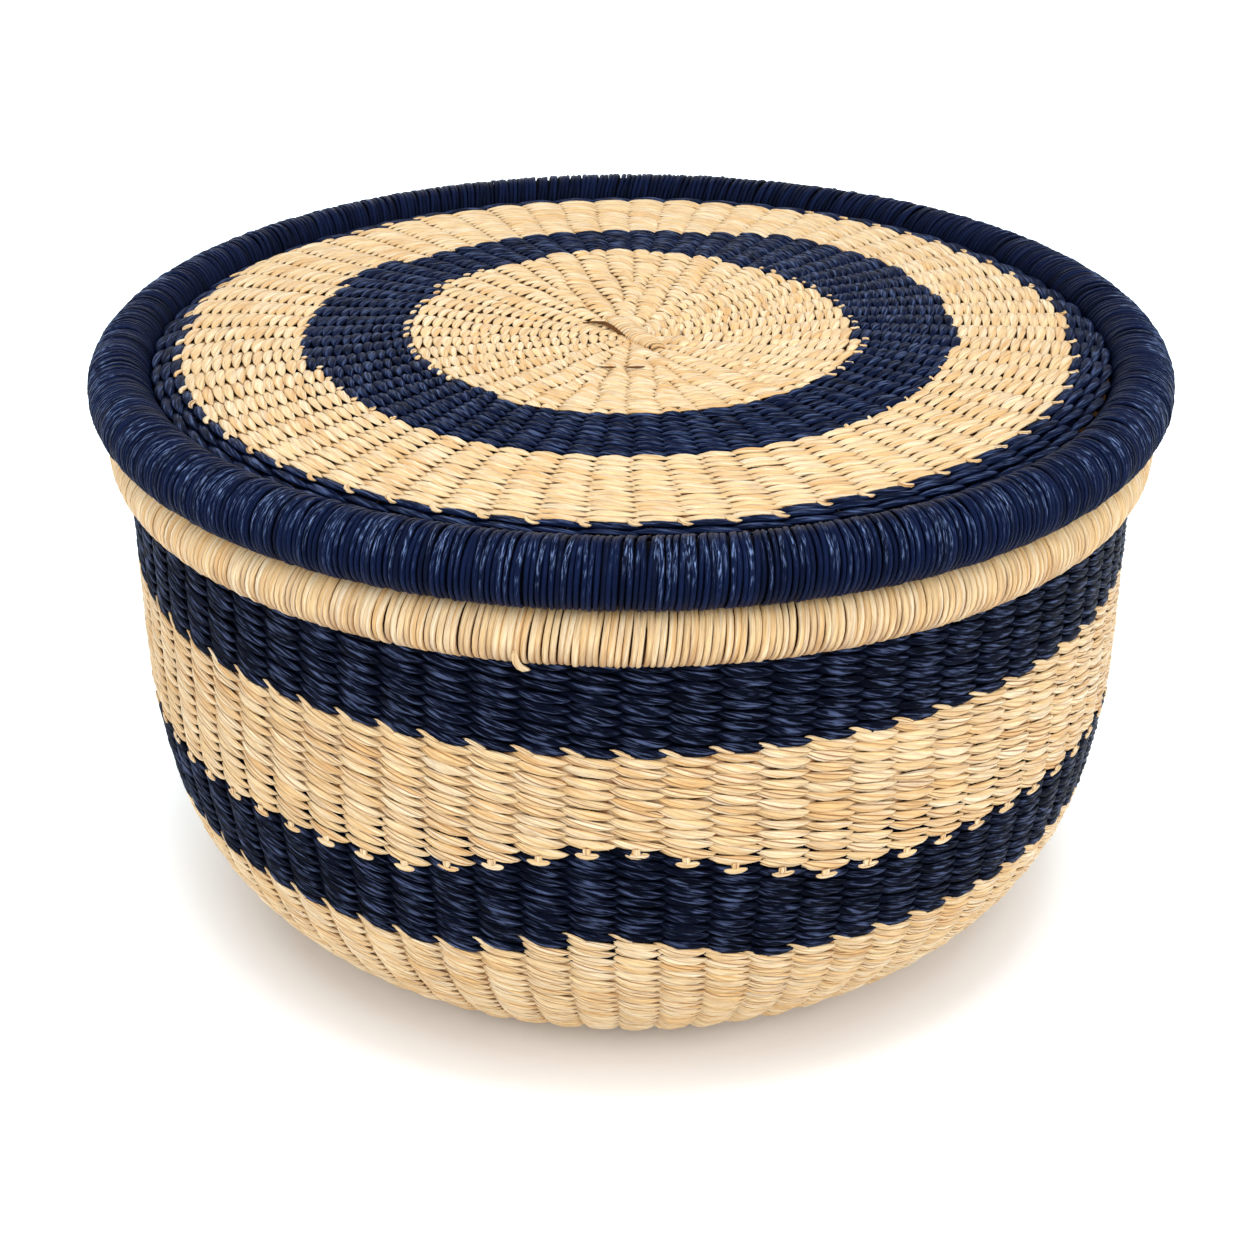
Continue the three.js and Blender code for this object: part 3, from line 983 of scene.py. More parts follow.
@dataclass
class Wiring:
    """A node tree that is being wired up."""

    tree: bpy.types.NodeTree

    @classmethod
    def of(cls, owner: bpy.types.Material | bpy.types.World) -> Self:
        """Empties a node tree.

        Args:
            owner: The material or the world that it belongs to.

        Returns:
            The empty tree, ready to be wired up.
        """
        owner.use_nodes = True
        owner.node_tree.nodes.clear()
        return cls(owner.node_tree)

    def node(
        self, kind: str, feeds: dict[str | int, Value] | None = None, **settings: object
    ) -> bpy.types.Node:
        """Adds a node.

        Args:
            kind: Its type.
            feeds: The sockets and the plain values that go into its inputs, by their names or numbers.
            settings: Its settings.

        Returns:
            The node.
        """
        made = self.tree.nodes.new(kind)
        for name, value in settings.items():
            setattr(made, name, value)
        for place, value in (feeds or {}).items():
            if isinstance(value, Socket):
                self.tree.links.new(value, made.inputs[place])
            else:
                made.inputs[place].default_value = value
        return made

    def math(self, operation: str, first: Value, second: Value = 0.0) -> Socket:
        """Works out one value from two."""
        return self.node("ShaderNodeMath", {0: first, 1: second}, operation=operation).outputs[0]

    def times(self, first: Value, second: Value) -> Socket:
        """Multiplies two values."""
        return self.math("MULTIPLY", first, second)

    def plus(self, first: Value, second: Value) -> Socket:
        """Adds two values."""
        return self.math("ADD", first, second)

    def rest(self, share: Value) -> Socket:
        """Gives what a share leaves of 1."""
        return self.math("SUBTRACT", 1.0, share)

    def mix(self, share: Value, first: Value, second: Value) -> Socket:
        """Mixes a share of a second colour into a first one."""
        return self.node("ShaderNodeMix", {0: share, 6: first, 7: second}, data_type="RGBA").outputs[2]

    def noise(self, vector: Socket, scale: float, detail: float = 2.0) -> Socket:
        """Gives the value of a noise texture."""
        feeds = {"Vector": vector, "Scale": scale, "Detail": detail}
        return self.node("ShaderNodeTexNoise", feeds).outputs["Fac"]

    def spread(self, value: Socket, low: float, high: float) -> Socket:
        """Stretches the values between low and high to run from 0 to 1."""
        feeds = {"Value": value, "From Min": low, "From Max": high}
        return self.node("ShaderNodeMapRange", feeds, clamp=True).outputs["Result"]

    def only_seen(self, seen: Socket, unseen: Socket) -> Socket:
        """Mixes two shaders.

        Args:
            seen: What the camera, reflections and the view through glass meet.
            unseen: What all other light meets.

        Returns:
            The mixed shader.
        """
        ray = self.node("ShaderNodeLightPath").outputs
        reflected = self.math("MAXIMUM", ray["Is Glossy Ray"], ray["Is Transmission Ray"])
        share = self.math("MAXIMUM", ray["Is Camera Ray"], reflected)
        return self.node("ShaderNodeMixShader", {0: share, 1: unseen, 2: seen}).outputs[0]


def fibre_group() -> bpy.types.NodeTree:
    """Builds the shader node group that lays fibres, streaks, painted highlights and painted shade in the
    creases along a strand.

    Returns:
        The group. Its outputs are a colour, a roughness and the height of the fibres.
    """
    tree = bpy.data.node_groups.new("Grass fibres", "ShaderNodeTree")
    new_sockets(tree, "INPUT", "Color", "Grass", "Pale", "Warm", "Crease")
    new_sockets(tree, "INPUT", "Float", "Fibres Round", "Fibre Length")
    new_sockets(tree, "INPUT", "Float", "Streaks", "Glints", "Smooth", "Rough")
    new_sockets(tree, "OUTPUT", "Color", "Color")
    new_sockets(tree, "OUTPUT", "Float", "Roughness", "Height")
    wire = Wiring(tree)
    given = wire.node("NodeGroupInput").outputs
    strand_map = wire.node("ShaderNodeUVMap", uv_map="Strand").outputs["UV"]
    strand = wire.node("ShaderNodeSeparateXYZ", {0: strand_map}).outputs
    tone, crease, groove = (
        wire.node("ShaderNodeAttribute", attribute_name=name).outputs["Fac"]
        for name in ("tone", "crease", "groove")
    )

    # The way round the strand becomes a circle, so that no seam shows, and each strand has its own place
    about = wire.times(strand["Y"], TURN)
    ring = wire.math("DIVIDE", given["Fibres Round"], TURN)
    apart = wire.times(tone, 61.0)

    def fibre_space(length: Value) -> Socket:
        """Gives the place along and round a strand.

        Args:
            length: How long the fibres look there.

        Returns:
            The place, as a vector for a texture.
        """
        return wire.node("ShaderNodeCombineXYZ", {
            "X": wire.math("DIVIDE", strand["X"], length),
            "Y": wire.plus(wire.times(wire.math("COSINE", about), ring), apart),
            "Z": wire.times(wire.math("SINE", about), ring),
        }).outputs[0]

    fibre = wire.noise(fibre_space(given["Fibre Length"]), 1.0, detail=3.0)
    streak = wire.noise(fibre_space(22 * MM), 0.45, detail=1.0)
    patch = wire.noise(fibre_space(3.8 * MM), 0.25)

    # Dull strands and pale streaks. With glints, the pale colour is a painted highlight on fine fibres of
    # the crests, where the painted shade is light
    warm = wire.times(wire.spread(wire.plus(tone, patch), 0.85, 1.45), given["Streaks"])
    color = wire.mix(warm, given["Grass"], given["Warm"])
    pale = wire.times(wire.spread(streak, 0.42, 0.72), given["Streaks"])
    color = wire.mix(wire.times(pale, wire.rest(given["Glints"])), color, given["Pale"])
    crest = wire.times(wire.rest(wire.spread(crease, 0.05, 0.35)), given["Glints"])
    glint = wire.times(wire.spread(fibre, 0.5, 0.68), crest)

    # Painted shade: dark gaps between fibres, dark lines in the grooves, and shade in the creases
    gap, line, shade_share = 0.55, 0.85, 0.92
    gaps = wire.times(wire.times(wire.rest(wire.spread(fibre, 0.3, 0.7)), gap), given["Streaks"])
    dark = wire.math("MAXIMUM", gaps, wire.times(wire.spread(groove, 0.45, 0.95), line))
    color = wire.mix(glint, wire.mix(dark, color, given["Crease"]), given["Pale"])
    crease_shade = wire.spread(crease, 0.45, 1.0)
    color = wire.mix(wire.times(crease_shade, shade_share), color, given["Crease"])

    more = wire.math("SUBTRACT", given["Rough"], given["Smooth"])
    rough = wire.plus(given["Smooth"], wire.times(more, wire.math("MAXIMUM", crease_shade, dark)))
    wire.node("NodeGroupOutput", {"Color": color, "Roughness": rough, "Height": fibre})
    return tree


def srgb(red: int, green: int, blue: int) -> Color:
    """Turns a colour into a linear one.

    Args:
        red: Its red, from 0 to 255.
        green: Its green.
        blue: Its blue.

    Returns:
        The linear colour, with a full alpha.
    """

    def linear(value: int) -> float:
        """Turns one channel into a linear one."""
        share = value / 255
        return share / 12.92 if share <= 0.04045 else ((share + 0.055) / 1.055) ** 2.4

    return linear(red), linear(green), linear(blue), 1.0


@dataclass(frozen=True)
class GrassFinish:
    """A grass, dyed or not.

    Attributes:
        name: The material's name.
        slot: The record's material slot.
        grass: The main colour.
        pale: The colour of its lighter streaks, and of its painted highlights where it has glints.
        warm: The colour of its duller strands.
        crease: The colour of the painted shade in its creases.
        fibres: How many fibres lie round a strand.
        streaks: How strong its streaks are.
        smooth: The roughness on the crests.
        rough: The roughness in the creases.
        shine: The specular level.
        relief: The height of its fibres.
        bump: How strongly they show.
        glints: How far its pale colour is a painted highlight on fine fibres of the crests.
        fibre_length: How long its fibres look.
    """

    name: str
    slot: str
    grass: Color
    pale: Color
    warm: Color
    crease: Color
    fibres: float = 13.0
    streaks: float = 0.8
    smooth: float = 0.42
    rough: float = 0.8
    shine: float = 0.45
    relief: float = 0.6 * MM
    bump: float = 0.9
    glints: float = 0.0
    fibre_length: float = 9 * MM

    def material(self, fibres: bpy.types.NodeTree) -> bpy.types.Material:
        """Makes the material.

        Args:
            fibres: The node group that lays fibres along a strand.

        Returns:
            The material.
        """
        made = bpy.data.materials.new(self.name)
        wire = Wiring.of(made)
        given = {
            "Grass": self.grass, "Pale": self.pale, "Warm": self.warm, "Crease": self.crease,
            "Fibres Round": self.fibres, "Fibre Length": self.fibre_length, "Streaks": self.streaks,
            "Smooth": self.smooth, "Rough": self.rough, "Glints": self.glints,
        }
        group = wire.node("ShaderNodeGroup", given, node_tree=fibres).outputs
        bump = wire.node(
            "ShaderNodeBump", {"Strength": self.bump, "Distance": self.relief, "Height": group["Height"]}
        )
        shader = wire.node("ShaderNodeBsdfPrincipled", {
            "Base Color": group["Color"], "Roughness": group["Roughness"], "Specular IOR Level": self.shine,
            "Normal": bump.outputs["Normal"],
        })
        wire.node("ShaderNodeOutputMaterial", {"Surface": shader.outputs["BSDF"]})
        return made


NATURAL_GRASS = GrassFinish(
    "Natural grass", "natural_grass", grass=srgb(245, 213, 158), pale=srgb(255, 242, 210),
    warm=srgb(233, 188, 124), crease=srgb(126, 68, 20), smooth=0.38, shine=0.35,
)
# The navy grasses have glints: their pale colours are painted highlights on the crests
NAVY_GRASS = GrassFinish(
    "Navy grass", "navy_grass", grass=srgb(7, 13, 32), pale=srgb(76, 88, 122), warm=srgb(3, 6, 18),
    crease=srgb(1, 2, 5), smooth=0.38, rough=0.6, shine=0.02, glints=1.0,
)
# The lid's navy is lighter and bluer than the bowl's: partly its own dye, partly a painted sheen where the
# lid faces the light
NAVY_LID_GRASS = replace(
    NAVY_GRASS, name="Navy grass of the lid", grass=srgb(12, 24, 54), pale=srgb(72, 88, 126),
    warm=srgb(6, 12, 32), crease=srgb(1, 2, 7),
)
# Its bright pale colour is a painted highlight, which the painted shade of the turns keeps to the top of
# the rim
NAVY_LASHING = replace(
    NAVY_GRASS, name="Navy lashing grass", grass=srgb(15, 28, 62), pale=srgb(130, 154, 202),
    warm=srgb(7, 15, 38), crease=srgb(1, 2, 8), smooth=0.34, rough=0.55, shine=0.03,
    fibre_length=3.5 * MM,
)
# Its crease colour is the painted shade that the stakes show almost wholly
STAKE_GRASS = GrassFinish(
    "Stake grass", "stake_grass", grass=srgb(214, 178, 124), pale=srgb(232, 202, 154),
    warm=srgb(186, 144, 92), crease=srgb(88, 50, 18), smooth=0.6, rough=0.85, shine=0.1,
)
# Dark colours that paint the shade on the hoop under the bowl's turns
RIM_CORE_GRASS = replace(
    STAKE_GRASS, name="Shaded core grass", grass=srgb(70, 50, 30), pale=srgb(80, 58, 36),
    warm=srgb(60, 42, 26), crease=srgb(60, 36, 18),
)
# Stained navy, and made darker still as painted shade, as it lies in shade under the lid's turns
STAINED_SHADED_CORE_GRASS = replace(
    STAKE_GRASS, name="Core grass stained navy", grass=srgb(8, 12, 24), pale=srgb(10, 15, 30),
    warm=srgb(6, 10, 20), crease=srgb(2, 3, 8), shine=0.05,
)


def add_object(name: str, data: bpy.types.ID) -> bpy.types.Object:
    """Adds an object to the scene.

    Args:
        name: The object's name.
        data: Its mesh, lamp or camera.

    Returns:
        The object.
    """
    made = bpy.data.objects.new(name, data)
    bpy.context.scene.collection.objects.link(made)
    return made


@dataclass
class Workshop:
    """Keeps the materials, and turns meshes into pieces that ride on the frame."""

    materials: dict[str, bpy.types.Material] = field(default_factory=dict)
    fibres: bpy.types.NodeTree = field(default_factory=fibre_group)

    def piece(self, name: str, parts: MeshParts, finish: GrassFinish, body: str, *nodes: str) -> None:
        """Makes one piece of the basket.

        Args:
            name: The piece's name.
            parts: What its mesh is made of.
            finish: Its finish.
            body: The CAD body that it moves with.
            nodes: The CAD nodes that it stands for.
        """
        if finish.name not in self.materials:
            self.materials[finish.name] = finish.material(self.fibres)
        mesh = mesh_from(name, parts)
        mesh.materials.append(self.materials[finish.name])
        made = add_object(name, mesh)
        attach(made, body)
        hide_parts(*nodes)
        log.info("%s: %d faces", name, len(mesh.polygons))


@dataclass(frozen=True)
class Rim:
    """A wound rim: a hoop of stems, and one strand wound round it.

    Attributes:
        body: The CAD body that it is part of.
        winding: The turns.
        core_finish: The finish of the hoop.
        finish: The finish of the turns.
    """

    body: str
    winding: Winding
    core_finish: GrassFinish
    finish: GrassFinish

    def build(self, workshop: Workshop, rng: Random) -> None:
        """Makes the hoop, and the turns in two halves.

        Args:
            workshop: Makes the pieces.
            rng: The source of the small differences.
        """
        name = self.body.title()
        hoop = self.winding.rim.hoop()
        workshop.piece(f"{name}_RimCore", hoop, self.core_finish, self.body, f"{self.body}_rim_core")
        for side, first, last in (("Left", 0.5, 1.0), ("Right", 0.0, 0.5)):
            turns = self.winding.parts(rng, first, last)
            workshop.piece(
                f"{name}_RimLashing_{side}", turns, self.finish, self.body, f"{self.body}_rim_lashing"
            )


FINISH_OF = {Grass.NATURAL: NATURAL_GRASS, Grass.NAVY: NAVY_GRASS, Grass.LID_NAVY: NAVY_LID_GRASS}


# The weaves


class Edge(Enum):
    """How a band of grass begins."""

    PLAIN = "plain"
    TIPS = "tips rise over the row above"
    KNOBS = "knobs rise over the row above"
    LENSES = "lenses hang over the first row"
    HOOKS = "ends hook round the first row"


# The short ends at each kind of edge
ENDS_OF = {
    Edge.PLAIN: (),
    Edge.TIPS: (RISING_TIP,),
    Edge.KNOBS: (KNOB,),
    Edge.LENSES: (HANGING_LENS, LENS_NECK),
    Edge.HOOKS: (HOOKED_END,),
}


@dataclass(frozen=True)
class Band:
    """One colour band of a weave.

    Attributes:
        name: The band's name in its pieces.
        grass: Its colour.
        part: What the names of its CAD nodes begin with.
        first_row: The number of its first row away from any peak.
        peak: How many rows earlier it begins at the peak.
        edge: How it begins.
        ends_between: How far from the front its short ends are found, in degrees.
        wander: Angles in degrees, and how many rows later it begins there.
    """

    name: str
    grass: Grass
    part: str
    first_row: int
    peak: int = 0
    edge: Edge = Edge.PLAIN
    ends_between: tuple[float, float] = (0.0, 180.0)
    wander: tuple[tuple[float, ...], tuple[float, ...]] = ((0.0,), (0.0,))

    @property
    def ends_rise(self) -> bool:
        """Whether the short ends are the band's own, over the row above it."""
        return self.edge in (Edge.TIPS, Edge.KNOBS)

    def starts(self, from_peak: Array, angle: Array) -> Array:
        """Gives the number of the first row in columns so many away from the peak, at these angles."""
        later = np.round(np.interp(np.degrees(angle), *self.wander, period=360)).astype(int)
        return self.first_row - self.peak + np.minimum(from_peak, self.peak) + later

    def has_ends(self, angle: Array) -> Array:
        """Says in which columns the band's edge has its short ends."""
        from_front = np.abs((np.degrees(angle) + 180) % 360 - 180)
        return (from_front >= self.ends_between[0]) & (from_front <= self.ends_between[1])


@dataclass(frozen=True)
class Upright:
    """A strand that runs up inside the weave.

    Attributes:
        aside: How far from the middle of the column it lies, as a share of the column's width.
        span: Half its own width, as a share of the column's.
        depth: How deep it lies, as a share of the weave's thickness.
        half_depth: Half its thickness.
        shade: How much painted shade it has, as it lies deep in the weave.
    """

    aside: float
    span: float
    depth: float
    half_depth: float = 1.3 * MM
    shade: float = 0.65


# The stakes are almost wholly painted shade, as they lie deep in the weave
STAKE = Upright(aside=0.0, span=0.11, depth=0.58, shade=0.9)
# Where the strands of a row cross from face to face between two stakes
CROSSING = Upright(aside=0.5, span=0.32, depth=0.42)
# The dyed strands close right round a stake
SLEEVE = Upright(aside=0.0, span=0.16, depth=0.52, half_depth=1.9 * MM)


@dataclass(frozen=True)
class Swatch:
    """A run of rows that share one piece and one template.

    Attributes:
        label: Its part of the pieces' names.
        until: The line of its last row at most.
        shown: The template on the shown face.
        hidden: The template on the hidden face.
    """

    label: str
    until: float
    shown: Template
    hidden: Template = PLAIN_STITCH


@dataclass(frozen=True)
class Weave:
    """Rows of twining in bands of colour, on both faces of one weave.

    Attributes:
        name: The name of its pieces.
        body: The CAD body that it moves with.
        maker: Turns its stitches into meshes.
        faces: What the names of each face's CAD nodes end with.
        columns: Its columns of stitches.
        lines: The lines of its rows.
        height: The height of a row, as a share of the template's.
        bands: Its colour bands.
        swatches: Its runs of rows.
        bulges: The lines between which the columns' bulge changes, and its values there.
        peak_angle: The angle of the peak that some bands climb to.
    """

    name: str
    body: str
    maker: StitchMaker
    faces: dict[Face, str]
    columns: Columns
    lines: Array
    height: float
    bands: tuple[Band, ...]
    swatches: tuple[Swatch, ...]
    bulges: tuple[tuple[float, ...], tuple[float, ...]]
    peak_angle: float = 0.0

    def node(self, band: Band, face: Face) -> str:
        """Gives the CAD node of one face of a band."""
        return f"{band.part}_weft_{self.faces[face]}"

    def from_peak(self, angle: Array) -> Array:
        """Counts the columns between each column and the two at the peak.

        Args:
            angle: The middles of all the columns.

        Returns:
            The counts, which are 0 for the two at the peak.
        """
        count = len(angle)
        place = np.round((angle - self.peak_angle) / (TURN / count)).astype(int)
        place = (place + count // 2) % count - count // 2
        return np.where(place >= 0, place, -1 - place)

    def build(self, workshop: Workshop, rng: Random) -> None:
        """Makes the pieces of both faces.

        Args:
            workshop: Makes the pieces.
            rng: The source of the small differences.
        """
        for face in Face:
            for swatch_number, swatch in enumerate(self.swatches):
                begins = self.swatches[swatch_number - 1].until if swatch_number else -1.0
                held = (self.lines > begins) & (self.lines <= swatch.until)
                self.build_swatch(workshop, rng, face, swatch, np.nonzero(held)[0])

    def build_swatch(
        self, workshop: Workshop, rng: Random, face: Face, swatch: Swatch, rows: Array
    ) -> None:
        """Makes the pieces of one run of rows on one face.

        Args:
            workshop: Makes the pieces.
            rng: The source of the small differences.
            face: Which face.
            swatch: The run of rows.
            rows: The numbers of its rows.
        """
        template = swatch.shown if face is Face.SHOWN else swatch.hidden
        whole = {band.name: StitchList(template, face) for band in self.bands}
        ends = {band.name: [StitchList(end, face) for end in ENDS_OF[band.edge]] for band in self.bands}
        for row in rows:
            line = self.lines[row]
            angle, width = self.columns.at(float(self.maker.weave.face(np.array([line]))[0][0]))
            bulge = float(np.interp(line, *self.bulges))
            away = self.from_peak(angle)
            starts = [band.starts(away, angle) for band in self.bands]
            owner = sum((row >= start).astype(int) for start in starts) - 1
            for place, (band, start) in enumerate(zip(self.bands, starts)):
                held = owner == place
                if held.any():
                    whole[band.name].add(angle[held], width[held], line, bulge, self.height)
                held = (start - 1 == row if band.ends_rise else start == row) & band.has_ends(angle)
                for found in ends[band.name] if held.any() else ():
                    found.add(angle[held], width[held], line, bulge, self.height)
        side = "Outer" if face is Face.SHOWN else "Inner"
        for band in self.bands:
            name = f"{self.name}_{band.name}{swatch.label}"
            if whole[band.name].rows:
                parts = self.maker.parts(whole[band.name], rng)
                finish = FINISH_OF[band.grass]
                workshop.piece(f"{name}_{side}", parts, finish, self.body, self.node(band, face))
        for place, band in enumerate(self.bands):
            owner = band if band.ends_rise else self.bands[place - 1]
            for number, found in enumerate(ends[band.name]):
                if found.rows:
                    name = f"{self.name}_{owner.name}{swatch.label}_{band.name}Ends{number + 1}_{side}"
                    parts = self.maker.parts(found, rng)
                    workshop.piece(name, parts, FINISH_OF[owner.grass], self.body, self.node(owner, face))

    def build_inside(self, workshop: Workshop, node: str) -> None:
        """Makes the stakes, and the strands of each band where they cross between the stakes.

        Args:
            workshop: Makes the pieces.
            node: The CAD node of the stakes.
        """
        # Where two colours meet at a wavy edge, the crossings under it are dark
        ends = []
        for band in self.bands[1:]:
            earliest = min(band.wander[1]) - band.peak
            later = max(band.wander[1]) if band.grass is Grass.NATURAL else earliest
            ends.append(self.lines[round(band.first_row + later)])
        first, last = self.lines[0] - 1 * MM, self.lines[-1] + 1 * MM
        stakes = self.uprights(first, last, STAKE)
        workshop.piece(f"{self.name}_Stakes", stakes, STAKE_GRASS, self.body, node)
        for band, low, high in zip(self.bands, [first, *ends], [*ends, last]):
            kinds = (CROSSING,) if band.grass is Grass.NATURAL else (CROSSING, SLEEVE)
            parts = merge([self.uprights(low - 2 * MM, high - 2 * MM, kind) for kind in kinds])
            name = f"{self.name}_{band.name}Crossings"
            workshop.piece(name, parts, FINISH_OF[band.grass], self.body, self.node(band, Face.SHOWN))

    def uprights(self, first: float, last: float, kind: Upright) -> MeshParts:
        """Builds one kind of strand that runs up inside the weave, in every column.

        Args:
            first: The line where they begin.
            last: The line where they end.
            kind: What they are.

        Returns:
            The numbers of one mesh.
        """
        station_step, narrowest, widest, overlap = in_mm(6, 1, 6, 3)
        weave = self.maker.weave
        lines = np.linspace(first, last, max(3, math.ceil((last - first) / station_step)))
        radii = weave.face(lines)[0]
        starts = [radius for radius, _ in self.columns.stages]
        just_inside = 1e-6
        parts = []
        rng = np.random.default_rng(5)
        for start, until in zip(starts, [*starts[1:], 1.0]):
            held = (radii >= start - overlap) & (radii <= until + overlap)
            if held.sum() < 2:
                continue
            inside = radii[held].clip(start + just_inside, until - just_inside)
            places = [self.columns.at(float(radius)) for radius in inside]
            angle = np.stack([middle + kind.aside * width for middle, width in places], axis=1)
            width = np.stack([width for _, width in places], axis=1)
            angle, line = self.maker.waver.shift(angle, np.broadcast_to(lines[held], angle.shape))
            middle, out, down = under_face(weave, angle, line, weave.thickness * kind.depth)
            wide = np.clip(kind.span * weave.face(line)[0] * width, narrowest, widest)
            deep, shade = (np.full(angle.shape, value) for value in (kind.half_depth, kind.shade))
            strand = Strand(fibres=3, groove=0.1, shape=20.0)
            parts.append(strand.along(Path(middle, np.cross(down, out), out, wide, deep, shade), rng))
        return merge(parts)


@dataclass
class Bowl:
    """The bowl: a wall and a base twined in one run of rows, and a wound rim.

    Attributes:
        row_pitch: The distance between two rows.
        first_row: The line of the first row.
        last_radius: How near to the middle of the base the rows go.
        column_centre: The angle of the middle of the column at the front.
        stages: The radius from which each number of columns holds.
        body: The CAD body.
    """

    row_pitch: float = 4.45 * MM
    first_row: float = -1.6 * MM
    last_radius: float = 13 * MM
    column_centre: float = math.radians(0.55)
    stages: tuple[tuple[float, int], ...] = ((0.0, 12), (24 * MM, 24), (46 * MM, 37), (78 * MM, 74))
    body: str = "bowl"

    def __post_init__(self) -> None:
        """Fits the weave and the rim to the frame."""
        outer, inner = Reach.of("upper_navy_weft_outer"), Reach.of("upper_navy_weft_inner")
        face = WallFace(outer.outer, outer.high, outer.outer - inner.inner)
        pitch = TURN / self.stages[-1][1]
        curved = face.straight + sum(arc * turn for arc, turn in face.arcs[:2])
        base = curved + face.arcs[2][0] * face.arcs[2][1]
        self.weave = Weave(
            name="Bowl",
            body=self.body,
            maker=StitchMaker(face, Waver(seed=11, lean=math.radians(0.6))),
            faces={Face.SHOWN: "outer", Face.HIDDEN: "inner"},
            columns=Columns(self.stages, self.column_centre - pitch / 2),
            lines=np.arange(self.first_row, face.length - self.last_radius, self.row_pitch),
            height=1.0,
            bands=(
                Band("UpperNavy", Grass.NAVY, "upper_navy", first_row=0),
                Band("MiddleNatural", Grass.NATURAL, "middle_natural", first_row=9, edge=Edge.TIPS),
                Band("LowerNavy", Grass.NAVY, "lower_navy", first_row=22, peak=4, edge=Edge.LENSES),
                Band("Base", Grass.NATURAL, "base", first_row=31, peak=3, edge=Edge.TIPS),
            ),
            swatches=(
                Swatch("Upper", 66 * MM, WHOLE_STITCH),
                Swatch("Wall", 168 * MM, WHOLE_STITCH),
                Swatch("Curve", 206 * MM, WHOLE_STITCH),
                Swatch("Heel", 1.0, PLAIN_STITCH),
            ),
            bulges=((face.straight, curved, base - 20 * MM, base + 10 * MM), in_mm(1.45, 2.3, 2.3, 1.0)),
            peak_angle=self.column_centre,
        )
        winding = Winding(
            RimSize.of(self.body), turns=540, half_width=1.33 * MM, half_depth=0.95 * MM,
            join=math.radians(-100), lean=0.09, crossing=0.1, slant=0.35, sink=0.45 * MM, stations=22,
        )
        self.rim = Rim(self.body, winding, RIM_CORE_GRASS, NATURAL_GRASS)

    def build(self, workshop: Workshop) -> None:
        """Makes every piece of the bowl.

        Args:
            workshop: Makes the pieces.
        """
        rng = np.random.default_rng(7)
        self.weave.build(workshop, rng)
        self.weave.build_inside(workshop, "bowl_stakes")
        self.rim.build(workshop, rng)
        workshop.piece("Bowl_LashingTail", self.tail(rng), NATURAL_GRASS, self.body, "lashing_tail")

    def tail(self, rng: Random) -> MeshParts:
        """Builds the loose end of the rim's strand, which lies on the turns and hangs below them.

        Args:
            rng: The source of its unevenness.

        Returns:
            The numbers of one mesh.
        """
        rim = self.rim.winding.rim
        section = np.radians([[-10, -18, -28, -38, -47, -54, -60, -63]])
        reach = rim.tube + np.array([[-0.9, -0.35, 0.0, 0.15, 0.3, 0.5, 0.7, 0.6]]) * MM
        angle = np.radians([[-10.75, -10.72, -10.7, -10.65, -10.6, -10.5, -10.2, -9.85]])
        middle, side, out = rim.places(angle, section, reach)
        middle[..., 2] -= np.array([[0, 0, 0, 0, 0, 0.2, 0.6, 0.9]]) * MM
        # The strand runs down here, so its side points the other way
        path = Path(
            middle, -side, out,
            half_width=np.array([[0.6, 1.2, 1.45, 1.55, 1.65, 1.85, 1.95, 1.1]]) * MM,
            half_depth=np.array([[0.5, 0.8, 0.9, 0.95, 1.05, 1.2, 1.25, 0.7]]) * MM,
            # Painted shade at both ends, where the strand tucks in
            shade=np.array([[0.4, 0.1, 0, 0, 0, 0, 0.1, 0.3]]),
        )
        return Strand(fibres=4, groove=0.15, twist=math.radians(60), shape=4.0).along(path, rng)


# Dark strands beside the rib, as painted shadow along its side: how large each is, and its points from the
# middle of the lid, in mm
CENTRE_SHADOW_STRANDS = (
    (1.25, ((-21.0, 13.0), (-16.0, 14.4), (-11.6, 14.0), (-8.0, 9.4), (-4.4, 3.6), (-1.4, -1.0))),
    (0.6, ((-13.4, -42.2), (-11.8, -43.0), (-10.2, -43.4), (-8.8, -43.5), (-7.4, -43.2), (-6.2, -42.6))),
    (0.6, ((-3.2, -42.2), (-1.4, -42.9), (0.4, -43.2), (2.2, -43.1), (4.0, -42.7), (5.6, -42.0))),
)


